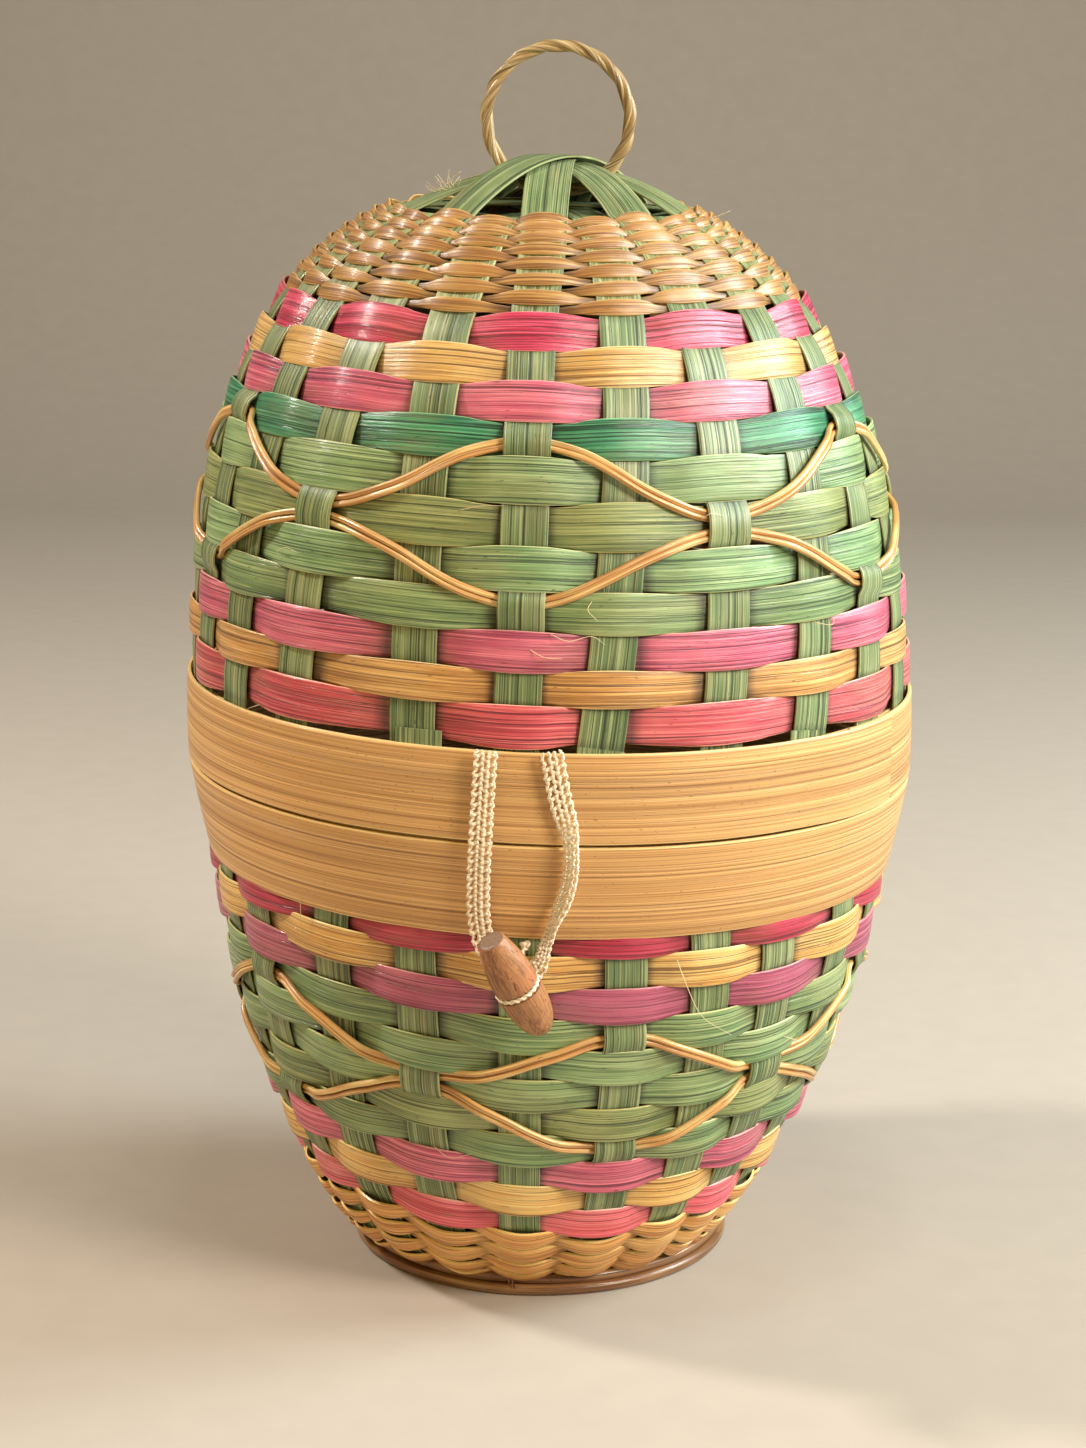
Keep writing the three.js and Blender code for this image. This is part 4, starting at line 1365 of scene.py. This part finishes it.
# Stray fibres: fine curled hairs that lift off the splints, as (stake, height along the wall, lift) points.
strays = {
    "size": 0.00032,
    "lid": [
        [(0.3, 0.0660, 0.0022), (0.5, 0.0640, 0.0042), (0.75, 0.0655, 0.0036), (0.9, 0.0630, 0.0024)],
        [(0.1, 0.0610, 0.0022), (0.25, 0.0590, 0.0040), (0.45, 0.0585, 0.0026)],
        [(-0.6, 0.1020, 0.0020), (-0.4, 0.1035, 0.0036), (-0.2, 0.1040, 0.0022)],
        [(0.72, 0.0760, 0.0020), (0.68, 0.0735, 0.0040), (0.8, 0.0700, 0.0026)],
        [(1.7, 0.1000, 0.0020), (1.75, 0.1015, 0.0044), (1.95, 0.1005, 0.0022)],
        [(2.9, 0.0655, 0.0022), (3.1, 0.0640, 0.0045), (3.2, 0.0655, 0.0028)],
        [(-2.4, 0.0820, 0.0020), (-2.2, 0.0840, 0.0042), (-2.1, 0.0830, 0.0024)],
        [(10.1, 0.1210, 0.0020), (10.3, 0.1225, 0.0048), (10.5, 0.1205, 0.0022)],
        [(14.6, 0.0700, 0.0020), (14.8, 0.0685, 0.0044), (15.0, 0.0700, 0.0022)],
    ],
    "base": [
        [(1.55, 0.0400, 0.0024), (1.6, 0.0470, 0.0070), (1.75, 0.0570, 0.0085), (2.2, 0.0680, 0.0060)],
        [(-2.3, 0.0300, 0.0028), (-2.28, 0.0360, 0.0036), (-2.3, 0.0440, 0.0026)],
        [(-0.9, 0.1150, 0.0022), (-0.7, 0.1165, 0.0044), (-0.5, 0.1150, 0.0024)],
        [(3.2, 0.0780, 0.0022), (3.4, 0.0800, 0.0046), (3.5, 0.0780, 0.0024)],
        [(8.4, 0.0900, 0.0022), (8.6, 0.0915, 0.0046), (8.8, 0.0890, 0.0024)],
        [(17.2, 0.0600, 0.0022), (17.4, 0.0585, 0.0044), (17.6, 0.0600, 0.0022)],
    ],
    "tuft": {
        "count": 18, "seed": 5, "root": (-0.0323, -0.012, 0.3672), "spreadX": (-0.002, 0.003),
        "spreadZ": (-0.001, 0.001), "reach": 0.0085, "reachVary": (0.4, 1.0), "curl": 0.16,
        "leanLow": (-0.9, -0.5, 0.2), "leanHigh": (0.5, 0.1, 1.0),
    },
    "straw": [(0.0480, -0.0300, 0.3600), (0.0545, -0.0310, 0.3612), (0.0600, -0.0300, 0.3632)],
    "look": {"sharp": 180},
}


def strayLine(half, places):
    return smoothLine([half.at(*place)[0] for place in places], 14)


# A small fan of broken fibres at the left of the apex.
def tuftLines():
    values = strays["tuft"]
    draw = random.Random(values["seed"]).uniform
    for _ in range(values["count"]):
        root = Vector(values["root"]) + Vector((draw(*values["spreadX"]), 0, draw(*values["spreadZ"])))
        reach = values["reach"] * draw(*values["reachVary"])
        lean = Vector(map(draw, values["leanLow"], values["leanHigh"])).normalized()
        curl = Vector(map(draw, (-1, -1, -1), (1, 1, 1))) * reach * values["curl"]
        yield smoothLine([root, root + lean * reach * 0.5 + curl, root + lean * reach], 8)


for prefix, (half, _, _) in halves.items():
    guides = Guides()
    lines = [strayLine(half, places) for places in strays[prefix]]
    if half is lid:
        lines += list(tuftLines())
        lines.append(smoothLine([Vector(p) for p in strays["straw"]], 10))
    for lane, line in enumerate(lines):
        thin = [strays["size"] * (1 - 0.6 * i / (len(line) - 1)) for i in range(len(line))]
        guides.add(line, [Vector((0.1, -1, 0.3))] * len(line), thin, thin, lane)
    piece = sweep(prefix + "_stray_fibres", guides, "hair", finishes["stray_straw"], strays["look"])
    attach(piece, prefix)
print("stray fibres added")

# Foot ring: varnished rods (radius, height, size) laid round, bound at the front with a thread.
footRing = {
    "rods": [(0.0645, 0.0020, 0.0040), (0.0632, 0.0056, 0.0038), (0.0612, 0.0034, 0.0034)],
    "steps": 180,
    "joint": 0.0015,
    "radiusVary": (0.0004, 0.09),
    "heightVary": (0.0002, 0.07),
    "thread": {
        "azimuth": -0.16, "pitch": 0.018, "turns": 2, "size": 0.0005, "reach": 0.0044, "flat": 0.62,
        "radius": 0.0638, "height": 0.00455, "steps": 60,
    },
    "look": {"relief": 0.00012, "reliefAcross": 600.0, "edgeWander": 0.0003, "sharp": 180},
}


def radialAt(a):
    return Vector((math.sin(a), -math.cos(a), 0))


def footRod(lane, radius, height, size, guides):
    steps, joint = footRing["steps"], footRing["joint"]
    (outVary, outRate), (upVary, upRate) = footRing["radiusVary"], footRing["heightVary"]

    def placeAt(i):
        radial = radialAt(2 * math.pi * (joint + (1 - 2 * joint) * i / steps) + lane * 2.0 + math.pi / 2)
        r = radius + outVary * wander(i * outRate, lane + 3)
        return radial * r + Vector((0, 0, height + upVary * wander(i * upRate, lane + 6))), radial

    guides.trace(range(steps + 1), placeAt, size, size, lane)


# A thread wound round the rods at the front, with a loose end.
def footThread(guides):
    values = footRing["thread"]
    steps = values["steps"]

    def placeAt(i):
        radial = radialAt(values["azimuth"] + values["pitch"] * i / steps * values["turns"])
        b = 2 * math.pi * values["turns"] * i / steps
        lean = radial * math.cos(b) * values["flat"] + Vector((0, 0, math.sin(b)))
        centre = radial * values["radius"] + Vector((0, 0, values["height"]))
        return centre + lean * values["reach"], lean.normalized()

    guides.trace(range(steps + 1), placeAt, values["size"], values["size"], 5)


guides = Guides()
for lane, rod in enumerate(footRing["rods"]):
    footRod(lane, *rod, guides)
footThread(guides)
settle(sweep("foot_ring_rods", guides, "rod", finishes["foot_brown"], footRing["look"]), "foot_ring", "base")

# Cords of the hinge and the toggle: two-ply, each a twisted section along its line.
cords = {
    "diameter": 0.0023,
    "fineDiameter": 0.0018,
    "plyTurn": 1500.0,
    "tieRadius": 0.0107,
    "tieY": 0.12601,
    "tieSteps": 150,
    "toggleCentre": (-0.0075, -0.13153, 0.1318),
    "toggleTilt": math.radians(26),
    "toggleLean": math.radians(20),
    "grooveRadius": 0.0068,
    "grooveSteps": 110,
    "flat": 0.82,
    "knotPlace": (-0.0052, -0.1187, 0.1412),
    "knotRadius": 0.0008,
    "knotShape": (0.42, 0.8, 0.42),
    "knotSteps": 60,
    "tailReach": 0.0092,
    "tailSag": (0, -0.0008, -0.0005),
    "tailFlat": 0.85,
    "look": {"sharp": 180},
}


def ringCord(centre, axisA, axisB, radius, steps, diameter, guides):
    def placeAt(i):
        a = 2 * math.pi * (0.002 + 0.996 * i / steps) - math.pi / 2
        lean = axisA * math.cos(a) + axisB * math.sin(a)
        return centre + lean * radius, lean

    guides.trace(range(steps + 1), placeAt, diameter, diameter * cords["flat"], 1, cords["plyTurn"])


def settleCord(name, guides, node, body):
    settle(sweep(name, guides, "ply", finishes["cord_cream"], cords["look"]), node, body)


toBack, upright = Vector((0, 1, 0)), Vector((0, 0, 1))
for i, step in enumerate((-0.5, 0.5)):
    azimuth = math.pi + weave["turn"] + step * math.pi / 12
    centre = Vector((egg["bodyRadius"] * math.sin(azimuth), cords["tieY"], egg["seam"]))
    guides = Guides()
    ringCord(centre, toBack, upright, cords["tieRadius"], cords["tieSteps"], cords["diameter"], guides)
    node = f"hinge_tie_{i + 1}"
    settleCord(node + "_cord", guides, node, "base")

toggleTurn = Matrix.Rotation(-cords["toggleTilt"], 3, "Y") @ Matrix.Rotation(cords["toggleLean"], 3, "X")
toggleSide, toggleBack, toggleAxis = (toggleTurn.col[i].copy() for i in range(3))
toggleCentre = Vector(cords["toggleCentre"])
grooveCord = (cords["grooveRadius"], cords["grooveSteps"], cords["fineDiameter"])
guides = Guides()
ringCord(toggleCentre, toggleSide, -toggleBack, *grooveCord, guides)
settleCord("toggle_band_cord", guides, "toggle_band", "toggle")


# The toggle's tie: a figure of eight knot against the wall and a tail that ends at the groove.
def toggleTail(guides):
    place = Vector(cords["knotPlace"])
    wide, deep, tall = cords["knotShape"]
    knot = []
    for i in range(cords["knotSteps"] + 1):
        a = 2 * math.pi * i / cords["knotSteps"] * 0.985
        x = math.sin(a) + 2 * math.sin(2 * a)
        z = math.cos(a) - 2 * math.cos(2 * a)
        y = -math.sin(3 * a)
        knot.append(place + Vector((x * wide, y * deep, z * tall)) * cords["knotRadius"])
    end = toggleCentre + toggleBack * cords["tailReach"]
    tail = smoothLine([place, place.lerp(end, 0.4) + Vector(cords["tailSag"]), end], 24)
    size = cords["fineDiameter"]
    for lane, line in enumerate((knot, tail)):
        outs = [Vector((0, -1, 0.2))] * len(line)
        guides.add(line, outs, size, size * cords["tailFlat"], lane, cords["plyTurn"])


guides = Guides()
toggleTail(guides)
settleCord("toggle_cord_knot", guides, "toggle_cord", "base")
print("cords tied")

# Toggle: a turned wooden barrel with a flat end, a rounded tip and a groove for its cord.
toggle = {
    "length": 0.040,
    "radius": 0.0073,
    "endRadius": 0.0043,
    "tipFullness": 2.3,
    "grooveWidth": 0.0028,
    "grooveDepth": 0.0018,
    "bevel": 0.00045,
    "bevelRise": 0.0004,
    "endDish": 0.0001,
    "segments": 72,
    "steps": 30,
    "grooveSteps": 9,
    "creaseDegrees": 50,
}


# The barrel's profile, as (radius, height), from the tip over the groove to the dished end.
def toggleProfile():
    half, edge, steps = toggle["length"] / 2, toggle["grooveWidth"] / 2, toggle["steps"]
    wide, end, dish, power = toggle["radius"], toggle["endRadius"], toggle["endDish"], toggle["tipFullness"]
    points = []
    for i in range(steps + 1):
        share = math.cos(math.pi / 2 * i / steps)
        points.append((wide * (1 - share**power) ** (1 / power), -edge - share * (half - edge)))
    for i in range(toggle["grooveSteps"]):
        a = math.pi * (i + 0.5) / toggle["grooveSteps"]
        points.append((wide - toggle["grooveDepth"] * math.sin(a), -edge * math.cos(a)))
    for i in range(steps + 1):
        share = i / steps
        points.append((wide - (wide - end) * share**2, edge + share * (half - edge - toggle["bevelRise"])))
    points.append((end - toggle["bevel"], half))
    points += [(end * k, half - dish * (1 - k)) for k in (0.6, 0.3)]
    points.append((0.0, half - dish))
    return points


# Turned wood, its grain along the toggle's axis, with greyer end grain on the flat end. Noise is (sizes,
# detail), and each tone has its noise, its levels (low, high, from, to) and its colour.
wood = {
    "fine": ((1500.0, 1500.0, 60.0), 4.0, 0.7),
    "broad": ((420.0, 420.0, 30.0), 3.0),
    "pores": ((1500.0, 1500.0, 420.0), 1.0),
    "blush": ((140.0, 140.0, 90.0), 1.0),
    "speckle": ((3200.0, 3200.0, 3200.0), 2.0),
    "base": (124, 78, 46),
    "tones": [
        ("broad", (0.35, 0.65), (160, 108, 68)),
        ("fine", (0.40, 0.68, 0.0, 0.6), (196, 146, 98)),
        ("blush", (0.52, 0.75, 0.0, 0.45), (198, 116, 78)),
        ("pores", (0.35, 0.30, 0.0, 0.85), (92, 48, 28)),
    ],
    "endFrom": (0.0003, 0.0001),
    "endLevels": (0.4, 0.6),
    "endTones": [(100, 74, 54), (142, 112, 88)],
    "poreLevels": (0.37, 0.30),
    "bump": (0.5, 0.00012),
    "rough": (0.3, 0.7, 0.5, 0.36),
}


def woodFinish(name):
    material, tree, shader = newMaterial(name)
    place = addNode(tree, "ShaderNodeTexCoord").outputs["Object"]
    local = addNode(
        tree, "ShaderNodeMapping", {"vector_type": "TEXTURE"},
        Vector=place, Location=toggleCentre, Rotation=toggleTurn.to_euler(),
    ).outputs[0]
    kinds = ("fine", "broad", "pores", "blush", "speckle")
    noises = {key: grainNoise(tree, local, *wood[key]) for key in kinds}
    height = addNode(tree, "ShaderNodeSeparateXYZ", Vector=local).outputs[2]
    isEnd = ramp(tree, height, *(toggle["length"] / 2 - depth for depth in wood["endFrom"]))
    dark, pale = (srgb(*tone) for tone in wood["endTones"])
    endGrain = mixColour(tree, ramp(tree, noises["speckle"], *wood["endLevels"]), dark, pale)
    colour = srgb(*wood["base"])
    for key, levels, tone in wood["tones"]:
        colour = mixColour(tree, ramp(tree, noises[key], *levels), colour, srgb(*tone))
    colour = mixColour(tree, isEnd, colour, endGrain)
    pores = ramp(tree, noises["pores"], *wood["poreLevels"])
    raised = bumped(tree, *wood["bump"], mathNode(tree, "SUBTRACT", noises["fine"], pores))
    rough = ramp(tree, noises["fine"], *wood["rough"])
    give(shader, Base_Color=colour, Roughness=rough, Normal=raised)
    return material


def turnedToggle():
    vertices, faces, rings, count = [], [], [], toggle["segments"]
    for r, h in toggleProfile():
        centre = toggleCentre + toggleAxis * h
        if r <= 1e-6:
            rings.append([len(vertices)])
            vertices.append(centre)
            continue
        rings.append(list(range(len(vertices), len(vertices) + count)))
        for k in range(count):
            a = 2 * math.pi * k / count
            vertices.append(centre + (toggleSide * math.cos(a) - toggleBack * math.sin(a)) * r)
    for low, high in zip(rings, rings[1:]):
        for k in range(count):
            n = (k + 1) % count
            quad = [low[k % len(low)], low[n % len(low)], high[n % len(high)], high[k % len(high)]]
            faces.append(list(dict.fromkeys(quad)))
    mesh = bpy.data.meshes.new("toggle_barrel")
    mesh.from_pydata(vertices, [], faces)
    facesOut(mesh)
    mesh.shade_smooth()
    mesh.set_sharp_from_angle(angle=math.radians(toggle["creaseDegrees"]))
    mesh.materials.append(woodFinish("toggle_wood"))
    return addObject("toggle_barrel", mesh)


settle(turnedToggle(), "toggle", "toggle")
print("toggle turned")

# Studio: a pale sweep of floor and wall, soft lights mostly from the right, and a warm surround.
studio = {
    "floorTone": (0.43, 0.38, 0.325),
    "backDistance": 1.6,
    "bend": 0.8,
    "bendSteps": 16,
    "reach": 4.0,
    "worldTone": (1.0, 0.8, 0.5, 1.0),
    "worldStrength": 0.19,
    "lights": {
        "key": ((1.15, -0.95, 1.05), (0, 0, 0.2), 0.6, 30.0, (1.0, 0.9, 0.77)),
        "rim": ((1.5, 0.15, 1.0), (0, 0, 0.22), 0.8, 38.0, (0.83, 0.97, 1.0)),
        "fill": ((-1.3, -1.2, 0.7), (0, 0, 0.2), 1.2, 6.5, (1.0, 0.62, 0.14)),
        "glint": ((-1.15, 0.14, 1.3), (0, 0, 0.3), 0.18, 20.0, (1.0, 0.93, 0.84)),
        "top": ((0.1, -0.35, 1.8), (0, 0, 0.4), 0.4, 5.0, (1.0, 0.98, 0.94)),
    },
}


def studioSweep():
    back, bend, reach, steps = (studio[key] for key in ("backDistance", "bend", "reach", "bendSteps"))
    line = [(-reach, 0.0), (back, 0.0)]
    for i in range(1, steps + 1):
        a = math.pi / 2 * i / steps
        line.append((back + bend * math.sin(a), bend * (1 - math.cos(a))))
    line.append((back + bend, reach))
    vertices = [(x, y, z) for y, z in line for x in (-reach, reach)]
    faces = [(2 * i, 2 * i + 1, 2 * i + 3, 2 * i + 2) for i in range(len(line) - 1)]
    mesh = bpy.data.meshes.new("studio_sweep")
    mesh.from_pydata(vertices, [], faces)
    mesh.shade_smooth()
    material, tree, shader = newMaterial("studio_paper")
    place = addNode(tree, "ShaderNodeTexCoord").outputs["Object"]
    speck = addNode(tree, "ShaderNodeTexNoise", Vector=place, Scale=60.0, Detail=3.0).outputs[0]
    tone = (*studio["floorTone"], 1.0)
    colour = mixColour(tree, ramp(tree, speck, 0.3, 0.7), darker(tone, 0.97), tone)
    give(shader, Base_Color=colour, Roughness=0.9)
    mesh.materials.append(material)
    return addObject("studio_sweep", mesh)


def softLight(name, place, target, size, power, tone):
    data = bpy.data.lights.new(name, "AREA")
    data.shape = "DISK"
    data.size = size
    data.energy = power
    data.color = tone
    away = Vector(place) - Vector(target)
    turn = away.to_track_quat("Z", "Y").to_matrix().to_4x4()
    addObject(name, data).matrix_world = Matrix.Translation(place) @ turn


studioSweep()
for name, values in studio["lights"].items():
    softLight(name, *values)
world = bpy.data.worlds.new("studio")
world.use_nodes = True
background = world.node_tree.nodes["Background"]
background.inputs[0].default_value = studio["worldTone"]
background.inputs[1].default_value = studio["worldStrength"]
bpy.context.scene.world = world
bpy.context.scene.view_settings.view_transform = "Standard"

for helper in sections.values():
    bpy.data.meshes.remove(helper.data)
